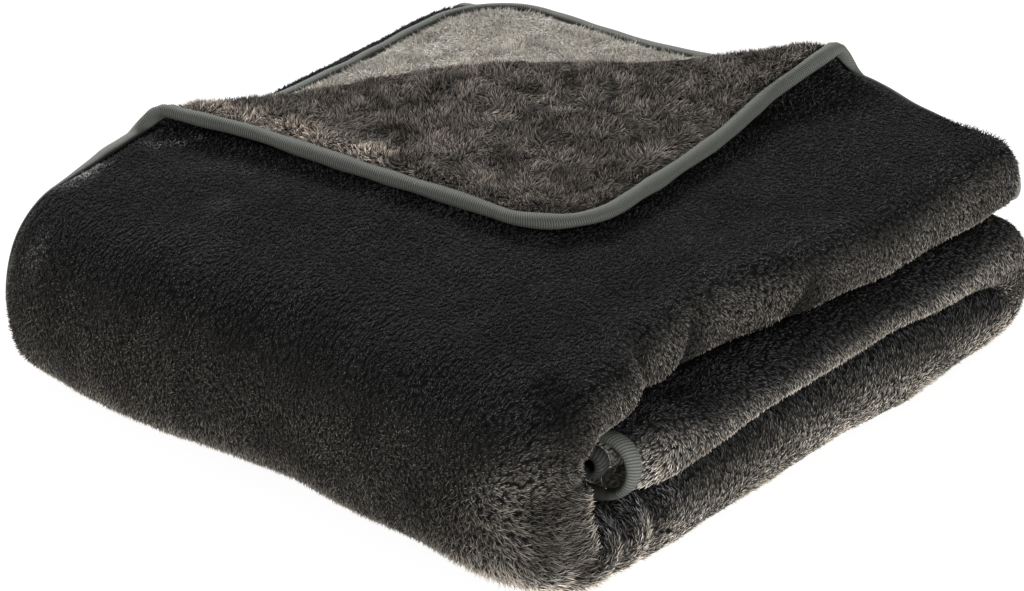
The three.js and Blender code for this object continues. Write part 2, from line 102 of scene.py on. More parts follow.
# %% Sizes
CLOTH = {"width": 1500, "length": 1970, "thickness": 10.3, "corner_radius": 60}
LAYER_GAP = 1.3
TAPE = {"cover": 11.1, "wall": 1.7, "clearance": 0.3}
HEM = {"thickness": 1.8, "beyond_tape": 0.8, "swell_at": 24}
TOP_OVERHANG = 40
INNER_SHORTFALL = 18
SET_BACK = {"left": 16, "right": 8}
BENT_EDGE = {
    "width": 28, "radius": 22, "drawn_in": 10, "begins": (390, 500), "ends": (1500, 1030),
}
# The turning line meets the cloth's two edges this far along the strip and over its layers
TURNED = {
    "along": 374, "across": 352, "curl_radius": 9, "stretch": 1.04,
    "settle_over": 130, "rest_gap": 1.5,
}
ARCH_WIDTH = 56
ARCHES = {"left": {"height": 0.5, "lean": 11}, "back": {"height": 7, "lean": 16}}
FRONT_CROWDING = 0.9
DROOP = {"past_back": 14, "by": 14, "right": (20, 110)}
PINCHED_END = {"reach": (18, 7), "share": 0.42, "fades_over": 60}
FOOTPRINT_SHIFT = (-3.2, 6.1)

PITCH = CLOTH["thickness"] + LAYER_GAP
LENGTH_OF_FOLDS = math.pi * PITCH * (1.5 + 0.5 + 0.5)
PANEL = (CLOTH["length"] - LENGTH_OF_FOLDS + SET_BACK["left"] + 2 * SET_BACK["right"]) / 4
RUN = (CLOTH["width"] - TOP_OVERHANG + INNER_SHORTFALL - math.pi * PITCH * (4 + 2)) / 3
# The height of the stack's middle, and half of its footprint
MIDDLE = 6 * PITCH - LAYER_GAP / 2
HALF_STACK = (PANEL / 2 + 1.5 * PITCH, RUN / 2 + 5 * PITCH)
print(f"pitch {PITCH:.1f} mm, panel {PANEL:.0f} mm, run {RUN:.0f} mm")

# %% [markdown]
# ## How uneven the stack is
#
# No stack of plush is square. These short tables say how far each roll stands out, how
# the front fold bulges, how the height changes and how the corners are drawn in.

# %% Unevenness
# Along the strip: how far the rolls on the right stand out
ROLLS_AT = [0, 130, 230, 320, 390, 440, 530, 700, 810, 920, 1060, 1130, 1290, 1440, 1500]
ROLLS_OUT = [4, -9, -19, -37, -33, -16, -10, -4, 0, 9, 12, 8, 0, -2, -12]
# And how far the left side lies further in, just before the front fold
LEFT_SIDE_AT = [320, 440, 530]
LEFT_SIDE_IN = [0, 5, 0]
# Along the front fold, from left (-1) to right (1): how far it bulges out
BULGE_AT = [-1, -0.5, 0, 0.5, 0.8, 1]
BULGE_OUT = [0, 5, 0, 10, 20, 10]
# Rows from front to back, columns from left to right: share of the height
HEIGHT_CHANGE = np.array([
    [-0.05, -0.01, 0, 0.01],
    [-0.01, 0.01, 0.01, 0.05],
    [-0.05, 0.08, 0, -0.02],
    [0.03, -0.02, 0.08, 0.03],
])
# On the right, from front to back: how far the places where two rolls meet lie higher or
# lower, because the bottom roll puffs up and the top one sags on the middle one
MEETINGS_AT = [-190, -150, -110, -40, 50, 100, 160, 220]
LOWER_MEETING_UP = [-3, 0, 5, 9, 9, 9, 3, -6]
UPPER_MEETING_UP = [2, 4, -3, -6, -2, -4, -6, -7]
ROLL_HEIGHT = 4 * PITCH
# From where to where the rolls begin, counted to the right
ROLLS_BEGIN = (90, 200)
DRAW_IN = {"front_left": 0.07, "front_right": 0.05, "back_left": 0.07, "back_right": 0.03}
DRAW_IN_POWER = 4
# The bulge begins a little behind the middle (0) and is full at the front (-1)
BULGE_GROWS = (0.2, -1)
print("rolls stand out by", min(ROLLS_OUT), "to", max(ROLLS_OUT), "mm")

# %% [markdown]
# ## Folding
#
# Each row of these tables is a straight panel or a fold round a centre. Walking along the
# rows tells where any point of the flat cloth ends up. The first table folds the cloth in
# four, seen along the strip; the second folds that strip in three, seen from the right.
# `face` is 1 where the dark face looks up or outwards. `side` is 1 where a fold bows to the
# right or the back, and `turn` is 1 where the walk goes round it anticlockwise.

# %% The two folds
FOLD_IN_FOUR = [
    {"part": "top panel", "level": 1.5, "from": "left", "to": "right", "face": 1},
    {"part": "outer fold", "radius": 1.5, "level": 0, "at": "right", "side": 1, "turn": -1, "face": 1},
    {"part": "bottom panel", "level": -1.5, "from": "right", "to": "left", "face": -1},
    {"part": "left fold", "radius": 0.5, "level": -1, "at": "left", "side": -1, "turn": -1, "face": 1},
    {"part": "third panel", "level": -0.5, "from": "left", "to": "inner right", "face": 1},
    {"part": "inner fold", "radius": 0.5, "level": 0, "at": "inner right", "side": 1, "turn": 1,
     "face": -1},
    {"part": "second panel", "level": 0.5, "from": "inner right", "to": "inner left", "face": -1},
]
FOLD_IN_THREE = [
    {"part": "top run", "level": 4, "from": "top end", "to": "front", "face": 1},
    {"part": "front fold", "radius": 4, "level": 0, "at": "front", "side": -1, "turn": 1,
     "face": 1, "crowding": FRONT_CROWDING},
    {"part": "bottom run", "level": -4, "from": "front", "to": "back", "face": -1},
    {"part": "back fold", "radius": 2, "level": -2, "at": "back", "side": 1, "turn": 1, "face": 1},
    {"part": "inner run", "level": 0, "from": "back", "to": "inner end", "face": 1},
]
RUN_PLACES = {
    "front": 0, "back": RUN, "top end": RUN + TOP_OVERHANG, "inner end": INNER_SHORTFALL,
}


def panel_places(left, right):
    return {"left": left, "right": right,
            "inner left": left + SET_BACK["left"], "inner right": right - SET_BACK["right"]}


def running_total(rows, places):
    lengths = [
        math.pi * row["radius"] * PITCH if "radius" in row
        else abs(places[row["to"]] - places[row["from"]])
        for row in rows
    ]
    return np.concatenate([[0], np.cumsum(lengths)])


RUN_STARTS = running_total(FOLD_IN_THREE, RUN_PLACES)
PANEL_STARTS = running_total(FOLD_IN_FOUR, panel_places(0, PANEL))
EDGE = {"along": RUN_STARTS[-1], "across": PANEL_STARTS[-1]}
for rows, starts in ((FOLD_IN_FOUR, PANEL_STARTS), (FOLD_IN_THREE, RUN_STARTS)):
    for row, length in zip(rows, np.diff(starts)):
        print(f"{row['part']}: {length:.0f} mm")
    print(f"together {starts[-1]:.0f} mm of cloth")

# %% Walking through a fold
def ease(share):
    """Goes softly from 0 to 1 as the share does."""
    share = np.clip(share, 0, 1)
    return share * share * (3 - 2 * share)


def fade(values, start, full):
    """0 where the values are at the start or before it, 1 where they reach full."""
    return ease((values - start) / (full - start))


def between(places, values, at):
    """Reads a table of values at any place, with soft steps between its rows."""
    places, values = np.asarray(places, float), np.asarray(values, float)
    i = np.clip(np.searchsorted(places, at) - 1, 0, len(places) - 2)
    share = ease((at - places[i]) / (places[i + 1] - places[i]))
    return values[i] + (values[i + 1] - values[i]) * share


def walk_fold(rows, starts, places, distance, offset):
    """Where points at a distance along the rows, and off the cloth's middle, lie after folding."""
    place, level = np.zeros_like(distance), np.zeros_like(distance)
    span = np.clip(np.searchsorted(starts, distance) - 1, 0, len(rows) - 1)
    share = (distance - starts[span]) / (starts[span + 1] - starts[span])
    for i, row in enumerate(rows):
        on = span == i
        spot = {name: np.broadcast_to(value, on.shape)[on] for name, value in places.items()}
        rise = row["face"] * offset[on]
        if "radius" in row:
            angle = math.pi * row["turn"] * (share[on] - row["side"] * 0.5)
            crowding = row.get("crowding", 0) * np.sin(math.pi * share[on]) ** 2
            radius = row["radius"] * PITCH + rise * (1 + np.where(rise < 0, crowding, 0))
            place[on] = spot[row["at"]] + radius * np.cos(angle)
            level[on] = row["level"] * PITCH + radius * np.sin(angle)
        else:
            place[on] = spot[row["from"]] + (spot[row["to"]] - spot[row["from"]]) * share[on]
            level[on] = row["level"] * PITCH + rise
    return place, level


# %% [markdown]
# ### Loose ends
#
# Three small things keep the stack from looking like folded card. The first layer's left
# edge bends down over the layers inside it, the strip's end is pinched on the right, and
# the end of the top run droops over the back fold. They could be sculpted by hand, but
# functions of the place on the flat cloth hold for the tape as well.

# %% The first layer's left edge
def top_panel(along, across, offset, places):
    """From the turned corner on, the first layer's left edge bends over the layers inside it."""
    bent = fade(along, *BENT_EDGE["begins"]) * fade(along, *BENT_EDGE["ends"])
    start = places["left"] + BENT_EDGE["width"] - BENT_EDGE["drawn_in"] * bent
    level = FOLD_IN_FOUR[0]["level"] * PITCH
    width = BENT_EDGE["width"] - across
    radius = BENT_EDGE["radius"] / np.maximum(bent, 0.001)
    angle = width / radius
    straight = start - (places["right"] - start) * width / (PANEL_STARTS[1] - BENT_EDGE["width"])
    return (
        np.where(width > 0, start - (radius + offset) * np.sin(angle), straight),
        np.where(width > 0, level - radius + (radius + offset) * np.cos(angle), level + offset),
    )


# %% The pinched end
def pinch_end(along, x, level, x_middle, level_middle, right):
    """At the strip's end the fold on the right closes a little, so its tape turns inwards."""
    closed = PINCHED_END["share"] * fade(along, *PINCHED_END["reach"])
    beyond = np.maximum(x_middle - right, 0)
    near_fold = ease(1 + (x_middle - right) / PINCHED_END["fades_over"])
    return x - beyond * closed, level - level_middle * closed * near_fold


# %% The drooping end
def droop(points):
    """How far the top run's end hangs down over the back fold, right of the turned corner."""
    past_back = points[:, 1] - RUN / 2 - PITCH - DROOP["past_back"]
    reach = np.maximum(past_back / (TOP_OVERHANG - DROOP["past_back"]), 0)
    return DROOP["by"] * reach ** 2 * fade(points[:, 0], *DROOP["right"])


# %% [markdown]
# ### The turned-back corner
#
# The corner of the top layer is rolled over a slanting line, the turning line, and laid
# back on the stack. Where the roll meets the two edges it arches up a little. A bend
# modifier could roll it, but the tape and the pile have to follow, so it is a function too.

# %% Rolling the corner back
LINE_SLOPE = math.hypot(1 / TURNED["along"], 1 / TURNED["across"])
TO_CORNER = (1 / TURNED["along"] / LINE_SLOPE, 1 / TURNED["across"] / LINE_SLOPE)
CURL_LENGTH = math.pi * TURNED["curl_radius"]
print(f"the curl takes {CURL_LENGTH:.0f} mm of cloth")


def past_turning_line(along, across):
    return (1 - along / TURNED["along"] - across / TURNED["across"]) / LINE_SLOPE


def turn_corner(points, past, offset):
    flat = np.maximum(past - CURL_LENGTH, 0)
    angle = np.minimum(past / TURNED["curl_radius"], math.pi)
    reach = (TURNED["curl_radius"] - offset) * np.sin(angle) - flat * TURNED["stretch"]
    middle = TURNED["curl_radius"] * (1 - np.cos(angle))
    settled = fade(flat, 0, TURNED["settle_over"])
    rise = middle * (1 - settled) + (PITCH + TURNED["rest_gap"]) * settled
    rise += offset * np.cos(angle)
    away = past - reach
    back = np.stack([TO_CORNER[1] * away, -TO_CORNER[0] * away, rise - offset], 1)
    return np.where(past[:, None] > 0, points + back, points)


def arch_up(points, past, across):
    on_line = (across + TO_CORNER[1] * past) / TURNED["across"]
    distance = np.maximum(np.maximum(-past, (past - CURL_LENGTH) * TURNED["stretch"]), 0)
    lifted = fade(distance, ARCH_WIDTH, 0)
    left, back = lifted * ease(1 - 2 * on_line), lifted * ease(2 * on_line - 1)
    return points + np.stack([
        back * ARCHES["back"]["lean"],
        -left * ARCHES["left"]["lean"],
        left * ARCHES["left"]["height"] + back * ARCHES["back"]["height"],
    ], 1)


# %% [markdown]
# ### The whole way from the flat cloth to the stack
#
# Now the steps follow each other: folded in four, folded in three, the corner turned, the
# end drooped. Last the whole stack settles, as a real one does under its own weight.

# %% Settling
def settle(points):
    u, v = points[:, 0] / HALF_STACK[0], points[:, 1] / HALF_STACK[1]
    right, back = np.clip((u + 1) / 2, 0, 1), np.clip((v + 1) / 2, 0, 1)
    draw_in = (1 - back) * ((1 - right) * DRAW_IN["front_left"] + right * DRAW_IN["front_right"])
    draw_in += back * ((1 - right) * DRAW_IN["back_left"] + right * DRAW_IN["back_right"])
    bulge = between(BULGE_AT, BULGE_OUT, u) * fade(v, *BULGE_GROWS)
    steps = np.linspace(-1, 1, len(HEIGHT_CHANGE))
    rows = np.stack([between(steps, row, u) for row in HEIGHT_CHANGE])
    i = np.clip(np.searchsorted(steps, v) - 1, 0, len(steps) - 2)
    share, column = ease((v - steps[i]) / (steps[i + 1] - steps[i])), np.arange(len(v))
    change = rows[i, column] * (1 - share) + rows[i + 1, column] * share
    at_rolls = fade(points[:, 0], *ROLLS_BEGIN)
    meetings = points[:, 2] / ROLL_HEIGHT
    lower = ease(1 - np.abs(meetings - 1)) * between(MEETINGS_AT, LOWER_MEETING_UP, points[:, 1])
    upper = ease(1 - np.abs(meetings - 2)) * between(MEETINGS_AT, UPPER_MEETING_UP, points[:, 1])
    return np.stack([
        points[:, 0] * (1 - draw_in * np.abs(v) ** DRAW_IN_POWER),
        points[:, 1] * (1 - draw_in * np.abs(u) ** DRAW_IN_POWER) - bulge,
        points[:, 2] * (1 + change) + (lower + upper) * at_rolls,
    ], 1)


# %% From the flat cloth to the stack
def folded(along, across, offset):
    """Points of the flat cloth in the folded stack, all in millimetres."""
    along, across, offset = (np.array(x, float) for x in np.broadcast_arrays(along, across, offset))
    left = between(LEFT_SIDE_AT, LEFT_SIDE_IN, along)
    places = panel_places(left, PANEL + between(ROLLS_AT, ROLLS_OUT, along))
    x, level = walk_fold(FOLD_IN_FOUR, PANEL_STARTS, places, across, offset)
    x_top, level_top = top_panel(along, across, offset, places)
    first_layer = across < PANEL_STARTS[1]
    x, level = np.where(first_layer, x_top, x), np.where(first_layer, level_top, level)
    middle = walk_fold(FOLD_IN_FOUR, PANEL_STARTS, places, across, 0 * offset)
    x, level = pinch_end(along, x, level, *middle, places["right"])
    y, z = walk_fold(FOLD_IN_THREE, RUN_STARTS, RUN_PLACES, along, level)
    points = np.stack([x - (PANEL + PITCH) / 2, y - RUN / 2 + PITCH, z + MIDDLE], 1)
    past = past_turning_line(along, across)
    turned = arch_up(turn_corner(points, past, offset), past, across)
    top_run = along < RUN_STARTS[1]
    points = np.where((first_layer & top_run)[:, None], turned, points)
    points[:, 2] -= np.where(top_run, droop(points), 0)
    return settle(points) + (*FOOTPRINT_SHIFT, 0)


corner = folded([0], [0], [0])[0]
print("the turned corner's tip lies at", corner.round(), "mm")

# %% [markdown]
# ## The cloth
#
# A finer copy of the folded cloth could be simulated, but a simulation wouldn't find the
# photograph's own folds. So a flat bmesh grid is laid out with its lines where the folds
# are, cut along the turning line, given its thickness, and only then carried through the
# same fold. Soft creases are added as small changes of thickness on the faces that show.

# %% Lines of the grid
PANEL_STEP, FOLD_STEP, FINE_STEP = 16, 5, 5.5
RIM = TAPE["wall"] + TAPE["clearance"]
HEM_INSET = TAPE["cover"] + HEM["beyond_tape"]
EDGE_INSETS = [RIM, HEM_INSET, 17, HEM["swell_at"], 31, 39, 49, CLOTH["corner_radius"]]


def grid_lines(rows, starts, total, finer):
    lines = []
    for i, row in enumerate(rows):
        step = FOLD_STEP if "radius" in row else PANEL_STEP
        steps = math.ceil((starts[i + 1] - starts[i]) / step)
        lines += list(np.linspace(starts[i], starts[i + 1], steps, endpoint=False))
    inner = CLOTH["corner_radius"] + 3
    lines = [
        line for line in lines
        if inner < line < total - inner and not finer[0] <= line <= finer[1]
    ]
    lines += list(np.arange(finer[0], finer[1], FINE_STEP))
    for inset in EDGE_INSETS:
        lines += [inset, total - inset]
    return np.array(sorted(lines))


# Finer where the creases at the near corner and under the top roll are
ALONG_LINES = grid_lines(FOLD_IN_THREE, RUN_STARTS, EDGE["along"], (220, 720))
ACROSS_LINES = grid_lines(FOLD_IN_FOUR, PANEL_STARTS, EDGE["across"], (430, 560))
print(len(ALONG_LINES), "by", len(ACROSS_LINES), "lines")


# %% The flat sheet
def round_corner(a, b):
    """Moves a grid point near a corner onto rings round the corner's own centre."""
    r = CLOTH["corner_radius"]
    da, db = r - min(a, EDGE["along"] - a), r - min(b, EDGE["across"] - b)
    if da <= 0 or db <= 0:
        return a, b
    shrink = 1 - max(da, db) / math.hypot(da, db)
    a += da * shrink * (1 if a < r else -1)
    b += db * shrink * (1 if b < r else -1)
    return a, b


def flat_sheet():
    bm = bmesh.new()
    rows, columns = len(ALONG_LINES) - 1, len(ACROSS_LINES) - 1
    bmesh.ops.create_grid(bm, x_segments=rows, y_segments=columns, size=1)
    for vert in bm.verts:
        i, j = round((vert.co.x + 1) / 2 * rows), round((vert.co.y + 1) / 2 * columns)
        vert.co = (*round_corner(ALONG_LINES[i], ACROSS_LINES[j]), 0)
    return bm


def cut_beside_turning_line(bm, distances):
    normal = Vector((*TO_CORNER, 0))
    for distance in distances:
        faces = [
            face for face in bm.faces
            if (at := face.calc_center_median()).x < RUN_STARTS[1] and at.y < PANEL_STARTS[1]
        ]
        edges = {edge for face in faces for edge in face.edges}
        verts = {vert for edge in edges for vert in edge.verts}
        bmesh.ops.bisect_plane(
            bm, geom=[*verts, *edges, *faces], dist=0.01, plane_no=normal,
            plane_co=normal * (1 / LINE_SLOPE - distance),
        )


CUTS_OVER_CURL, CUT_STEP = 12, 14
sheet_mesh = flat_sheet()
cut_beside_turning_line(sheet_mesh, [
    *np.linspace(0, CURL_LENGTH, CUTS_OVER_CURL),
    *(-CUT_STEP * k for k in (1, 2, 3, 4)),
    *(CURL_LENGTH + CUT_STEP * k for k in (1, 2)),
])
print(len(sheet_mesh.faces), "faces in the flat sheet")

# %% Thickness
def finished_mesh(name, bm):
    """Turns a bmesh into a mesh, and frees it."""
    mesh = bpy.data.meshes.new(name)
    bm.to_mesh(mesh)
    bm.free()
    return mesh


ret = bmesh.ops.extrude_face_region(sheet_mesh, geom=sheet_mesh.faces[:], use_keep_orig=True)
risen = {item for item in ret["geom"] if isinstance(item, bmesh.types.BMVert)}
for vert in sheet_mesh.verts:
    vert.co.z = 1 if vert in risen else -1
bmesh.ops.recalc_face_normals(sheet_mesh, faces=sheet_mesh.faces[:])
for face in sheet_mesh.faces:
    face.smooth = True
    face.material_index = 1 if face.calc_center_median().z < -0.5 else 0
cloth_mesh = finished_mesh("plush_cloth", sheet_mesh)


def values_of(items, name, width=1):
    """A whole number for each item, or with width 3 a vector for each."""
    values = np.empty(len(items) * width, np.int32 if width == 1 else np.float32)
    items.foreach_get(name, values)
    return values if width == 1 else values.reshape(-1, width)


def coordinates(mesh):
    return values_of(mesh.vertices, "co", 3).astype(float)


def place_vertices(mesh, points):
    mesh.vertices.foreach_set("co", np.asarray(points, np.float32).ravel())
    mesh.update()


def keep_attribute(mesh, name, kind, values, domain="POINT"):
    attribute = mesh.attributes.get(name) or mesh.attributes.new(name, kind, domain)
    attribute.data.foreach_set("vector" if kind == "FLOAT_VECTOR" else "value",
                               np.asarray(values, np.float32).ravel())


flat = coordinates(cloth_mesh)
along, across, side = flat.T


def from_edge(along, across):
    a = np.minimum(along, EDGE["along"] - along)
    b = np.minimum(across, EDGE["across"] - across)
    r = CLOTH["corner_radius"]
    return np.where((a < r) & (b < r), r - np.hypot(r - a, r - b), np.minimum(a, b))


def half_thickness(along, across):
    swelling = (CLOTH["thickness"] - HEM["thickness"]) / 2
    return HEM["thickness"] / 2 + swelling * fade(from_edge(along, across), HEM_INSET, HEM["swell_at"])


offset = side * half_thickness(along, across)
place_vertices(cloth_mesh, folded(along, across, offset) * MM)
print("folded cloth:", len(cloth_mesh.polygons), "faces")

# %% [markdown]
# ## What shows
#
# Most of the cloth is inside the stack. Rays sent out from each face find the faces that
# see daylight, and only those get creases and pile.

# %% Rays for daylight
RAY = {"reach": 60, "start": 1.2, "ways": 6, "upwards": 0.55, "sideways": 0.83}
SEEN_FROM = 0.05


def daylight(mesh):
    """For each face, the share of the rays sent out from it that meet no cloth nearby."""
    tree = BVHTree.FromPolygons(
        [v.co for v in mesh.vertices], [tuple(p.vertices) for p in mesh.polygons])
    seen = np.zeros(len(mesh.polygons))
    for i, face in enumerate(mesh.polygons):
        normal = face.normal.normalized()
        side_way = normal.orthogonal().normalized()
        other_way = normal.cross(side_way)
        start = face.center + normal * RAY["start"] * MM
        ways = [normal]
        for k in range(RAY["ways"]):
            turn = 2 * math.pi * k / RAY["ways"]
            slanting = side_way * math.cos(turn) + other_way * math.sin(turn)
            ways.append(normal * RAY["upwards"] + slanting * RAY["sideways"])
        free = [tree.ray_cast(start, way, RAY["reach"] * MM)[0] is None for way in ways]
        seen[i] = sum(free) / len(free)
    return seen


seen = daylight(cloth_mesh)
print("faces in daylight:", int((seen > SEEN_FROM).sum()), "of", len(seen))


def to_vertices(mesh, per_face):
    """The mean of the faces round each vertex."""
    total, count = np.zeros(len(mesh.vertices)), np.zeros(len(mesh.vertices))
    corners = values_of(mesh.loops, "vertex_index")
    np.add.at(total, corners, np.repeat(per_face, values_of(mesh.polygons, "loop_total")))
    np.add.at(count, corners, 1)
    return total / np.maximum(count, 1)


open_air = to_vertices(cloth_mesh, seen)

# %% [markdown]
# ## Creases and puffs
#
# Plush is too thick to crease sharply: it makes soft troughs. Each row below is one
# trough, a line on the flat cloth with a depth and a width. Two slow noises add the small
# unevenness of thick pile.

# %% Soft troughs
TROUGHS = [
    # Pinches under the top roll, where it sags over the one below
    {"from": (245, 505), "to": (262, 535), "depth": 7, "width": 8},
    {"from": (345, 500), "to": (362, 540), "depth": 8, "width": 8},
    {"from": (405, 495), "to": (420, 540), "depth": 8, "width": 8},
    # Folds between the puffs under the hollow at the near corner
    {"from": (470, 470), "to": (500, 520), "depth": 4, "width": 9},
    {"from": (528, 490), "to": (514, 518), "depth": 7, "width": 6},
    {"from": (530, 500), "to": (562, 488), "depth": 5, "width": 6},
    {"from": (528, 512), "to": (576, 502), "depth": 5, "width": 6},
    {"from": (582, 496), "to": (612, 545), "depth": 9, "width": 6},
    {"from": (608, 494), "to": (632, 540), "depth": 9, "width": 6},
    {"from": (634, 494), "to": (654, 535), "depth": 7, "width": 6},
]
LUMPS = [{"height": 1.3, "size": 55, "seed": 2.0}, {"height": 0.9, "size": 19, "seed": 8.0}]
# The cloth sinks by this much, because the pile that grows on it makes up its thickness
SINK = {"dark": 0.7, "light": 2.0}
RELIEF_GROWS = {"from_edge": (HEM_INSET, HEM_INSET + 20), "open_air": (0, 0.4)}


def trough_depth(along, across):
    depth = np.zeros_like(along)
    for row in TROUGHS:
        (a0, c0), (a1, c1) = row["from"], row["to"]
        length = math.hypot(a1 - a0, c1 - c0)
        t = np.clip(((along - a0) * (a1 - a0) + (across - c0) * (c1 - c0)) / length ** 2, 0, 1)
        distance = np.hypot(along - a0 - t * (a1 - a0), across - c0 - t * (c1 - c0))
        depth += row["depth"] * np.exp(-(distance / row["width"]) ** 2)
    return depth


def lumps(height, size, seed):
    """A slow noise over the flat cloth, with another course on its other side."""
    return height * np.array([
        noise.noise(Vector((a / size, c / size, seed + 3.7 * s)))
        for a, c, s in zip(along, across, side)
    ])


dark = side > 0
troughs = np.where(dark, trough_depth(along, across), 0)
relief = sum(lumps(**row) for row in LUMPS) - troughs - np.where(dark, SINK["dark"], SINK["light"])
relief *= fade(from_edge(along, across), *RELIEF_GROWS["from_edge"])
relief *= fade(open_air, *RELIEF_GROWS["open_air"])
offset = side * (half_thickness(along, across) + relief)
place_vertices(cloth_mesh, folded(along, across, offset) * MM)
keep_attribute(cloth_mesh, "flat", "FLOAT_VECTOR", flat * (MM, MM, 1))
print("deepest trough", round(float(troughs.max()), 1), "mm")

# %% [markdown]
# ## How the pile lies and looks in each place
#
# The nap is the way the pile was brushed: down over the rolls, and at the edge outwards
# over the tape. Light and shade are also painted into the dark pile's colour: painted shade
# in crevices and troughs, and painted light low on the sides, where the floor throws light
# up, most of all at the near corner and on its puffs, and on the rolls on the right, most on
# the middle roll, where it lifts the shadow under the top roll. On the rolls the crowns are
# also painted paler and browner than on top. This could be painted by hand. Here it is
# measured on the folded cloth and kept on the mesh, where the materials and the tufts read it.

# %% The nap
NAP_AT_EDGE = {"begins": (32, 14), "strength": 2.2}


def way_on_cloth(step_along, step_across):
    """The direction in space of a small step on the flat cloth."""
    way = folded(along + step_along, across + step_across, offset)
    way -= folded(along - step_along, across - step_across, offset)
    return way / np.linalg.norm(way, axis=1, keepdims=True)


nearest = np.argmin([along, EDGE["along"] - along, across, EDGE["across"] - across], axis=0)
outwards = way_on_cloth(np.choose(nearest, [-1, 1, 0, 0]), np.choose(nearest, [0, 0, -1, 1]))
near_edge = fade(from_edge(along, across), *NAP_AT_EDGE["begins"])[:, None]
nap = way_on_cloth(0, 1) * (1 - near_edge) + NAP_AT_EDGE["strength"] * outwards * near_edge
keep_attribute(cloth_mesh, "nap", "FLOAT_VECTOR", nap)
print("brushed outwards over the tape:", int((near_edge > 0.5).sum()), "points")

# %% Places where the pile looks different
# Places in the stack, in millimetres. Upright is 1 where the cloth lies flat and 0 where
# it stands. Again a pair says where something begins and where it is full.
NEAR_CORNER = {"spot": (235, -250), "reach": 130}
PUFFS = {"spot": (228, -175, 36), "reach": 65}
ROLLED = (0.9, 0.2)
RIGHT_SIDE = (160, 220)
MIDDLE_ROLL = {"height": 74, "reach": 34, "evened": 1.3}
LOW_RIM = {"height": 50, "higher_at_corner": 12, "upright": (0.6, 0)}
upright = values_of(cloth_mesh.vertices, "normal", 3)[:, 2]
in_stack = coordinates(cloth_mesh) / MM
x, y, z = in_stack.T


def near(spot, reach):
    """1 at a spot, softly down to 0 at the end of its reach."""
    return fade(np.linalg.norm(in_stack[:, :len(spot)] - spot, axis=1), reach, 0)


near_corner, puffs = near(**NEAR_CORNER), near(**PUFFS)
rolled, right_side = fade(upright, *ROLLED), fade(x, *RIGHT_SIDE)
off_middle = np.abs(z - MIDDLE_ROLL["height"]) / MIDDLE_ROLL["reach"]
middle_roll = ease(MIDDLE_ROLL["evened"] * (1 - off_middle))
over_rim = z - LOW_RIM["higher_at_corner"] * near_corner
low_rim = fade(over_rim, LOW_RIM["height"], 0) * fade(upright, *LOW_RIM["upright"])
print("on rolls:", int((rolled > 0.5).sum()), "of", len(rolled), "points")

# %% The shade of the dark pile
# Painted shade in crevices and troughs; painted light low on the sides, on puffs and rolls
PALER = {"low_rim": 2.5, "rim_at_corner": 0.7, "puffs": 2.2, "right_side": 0.5, "middle_roll": 1.3}
DARKER = {"crevice": 0.3, "ends_in_open_air": 0.3, "trough": 0.3}
in_the_open = fade(open_air, 0, DARKER["ends_in_open_air"])
shade = DARKER["crevice"] + (1 - DARKER["crevice"]) * in_the_open
shade *= 1 + rolled * right_side * (PALER["right_side"] + PALER["middle_roll"] * middle_roll)
shade /= 1 + DARKER["trough"] * troughs
rim_shade = low_rim * (PALER["low_rim"] + PALER["rim_at_corner"] * near_corner)
shade *= 1 + rim_shade + PALER["puffs"] * puffs
keep_attribute(cloth_mesh, "shade_here", "FLOAT", np.where(dark, shade, 1))
keep_attribute(cloth_mesh, "rolled", "FLOAT", rolled)
print(f"shade of the dark face: {shade[dark].min():.2f} to {shade[dark].max():.2f}")

cloth = put_in_scene("plush_cloth", cloth_mesh)

# %% [markdown]
# ## The edge tape
#
# The binding is a ribbed tape folded over the cloth's edge. It could be a curve with a
# bevel, but then it couldn't follow the curl. So a bmesh grid, the way round on one side
# and the way over the section on the other, is carried through the same folds. Every
# second station stands a little higher, which makes the ribs.

# %% Stations round the edge
RIB = {"pitch": 1.65, "height": 0.2, "slant": 0.3}
TAPE_SECTION = np.array([
    (11.2, 1.8), (9.0, 3.7), (4.8, 4.0), (1.2, 2.7), (-0.3, 0.0),
    (1.2, -2.7), (4.8, -4.0), (9.0, -3.7), (11.2, -1.8), (1.7, -1.7), (1.7, 1.7),
])
SECTION_MIDDLE, SECTION_REACH = (5, 0), 3.5
RIBBED_POINTS = range(1, 8)


def lap_stations():
    """Flat places and inward directions all round the cloth, a rib or a hollow apart."""
    r, w, h = CLOTH["corner_radius"], EDGE["along"], EDGE["across"]
    sides = [((r, 0), (w - r, 0)), ((w, r), (w, h - r)), ((w - r, h), (r, h)), ((0, h - r), (0, r))]
    centres = [(w - r, r), (w - r, h - r), (r, h - r), (r, r)]
    spots, inward = [], []
    for k, ((a0, c0), (a1, c1)) in enumerate(sides):
        length = math.hypot(a1 - a0, c1 - c0)
        steps = round(length / RIB["pitch"]) * 2
        way = ((a1 - a0) / length, (c1 - c0) / length)
        for i in range(steps):
            spots.append((a0 + (a1 - a0) * i / steps, c0 + (c1 - c0) * i / steps))
            inward.append((-way[1], way[0]))
        turns = round(math.pi / 2 * r / RIB["pitch"]) * 2
        start = math.atan2(a1 - centres[k][0], c1 - centres[k][1])
        for i in range(turns):
            angle = start - math.pi / 2 * i / turns
            out = (math.sin(angle), math.cos(angle))
            spots.append((centres[k][0] + r * out[0], centres[k][1] + r * out[1]))
            inward.append((-out[0], -out[1]))
    return np.array(spots), np.array(inward)


def open_air_beside(spots, count=6):
    """How open the cloth beside each station is, as the mean of its nearest points."""
    tree = KDTree(len(flat))
    for i, place in enumerate(flat):
        tree.insert((place[0], place[1], 0), i)
    tree.balance()
    return np.array([
        np.mean([open_air[i] for _, i, _ in tree.find_n((*spot, 0), count)]) for spot in spots
    ])


spots, inward = lap_stations()
station_open_air = open_air_beside(spots)
print(len(spots), "stations round the edge")


# %% Sweeping the tape
# A sewn edge is never even: it is a little plumper here and narrower there
UNEVEN = {"size": 26, "seeds": (1.5, 7.5), "plump": 0.16, "in_and_out": 0.5}
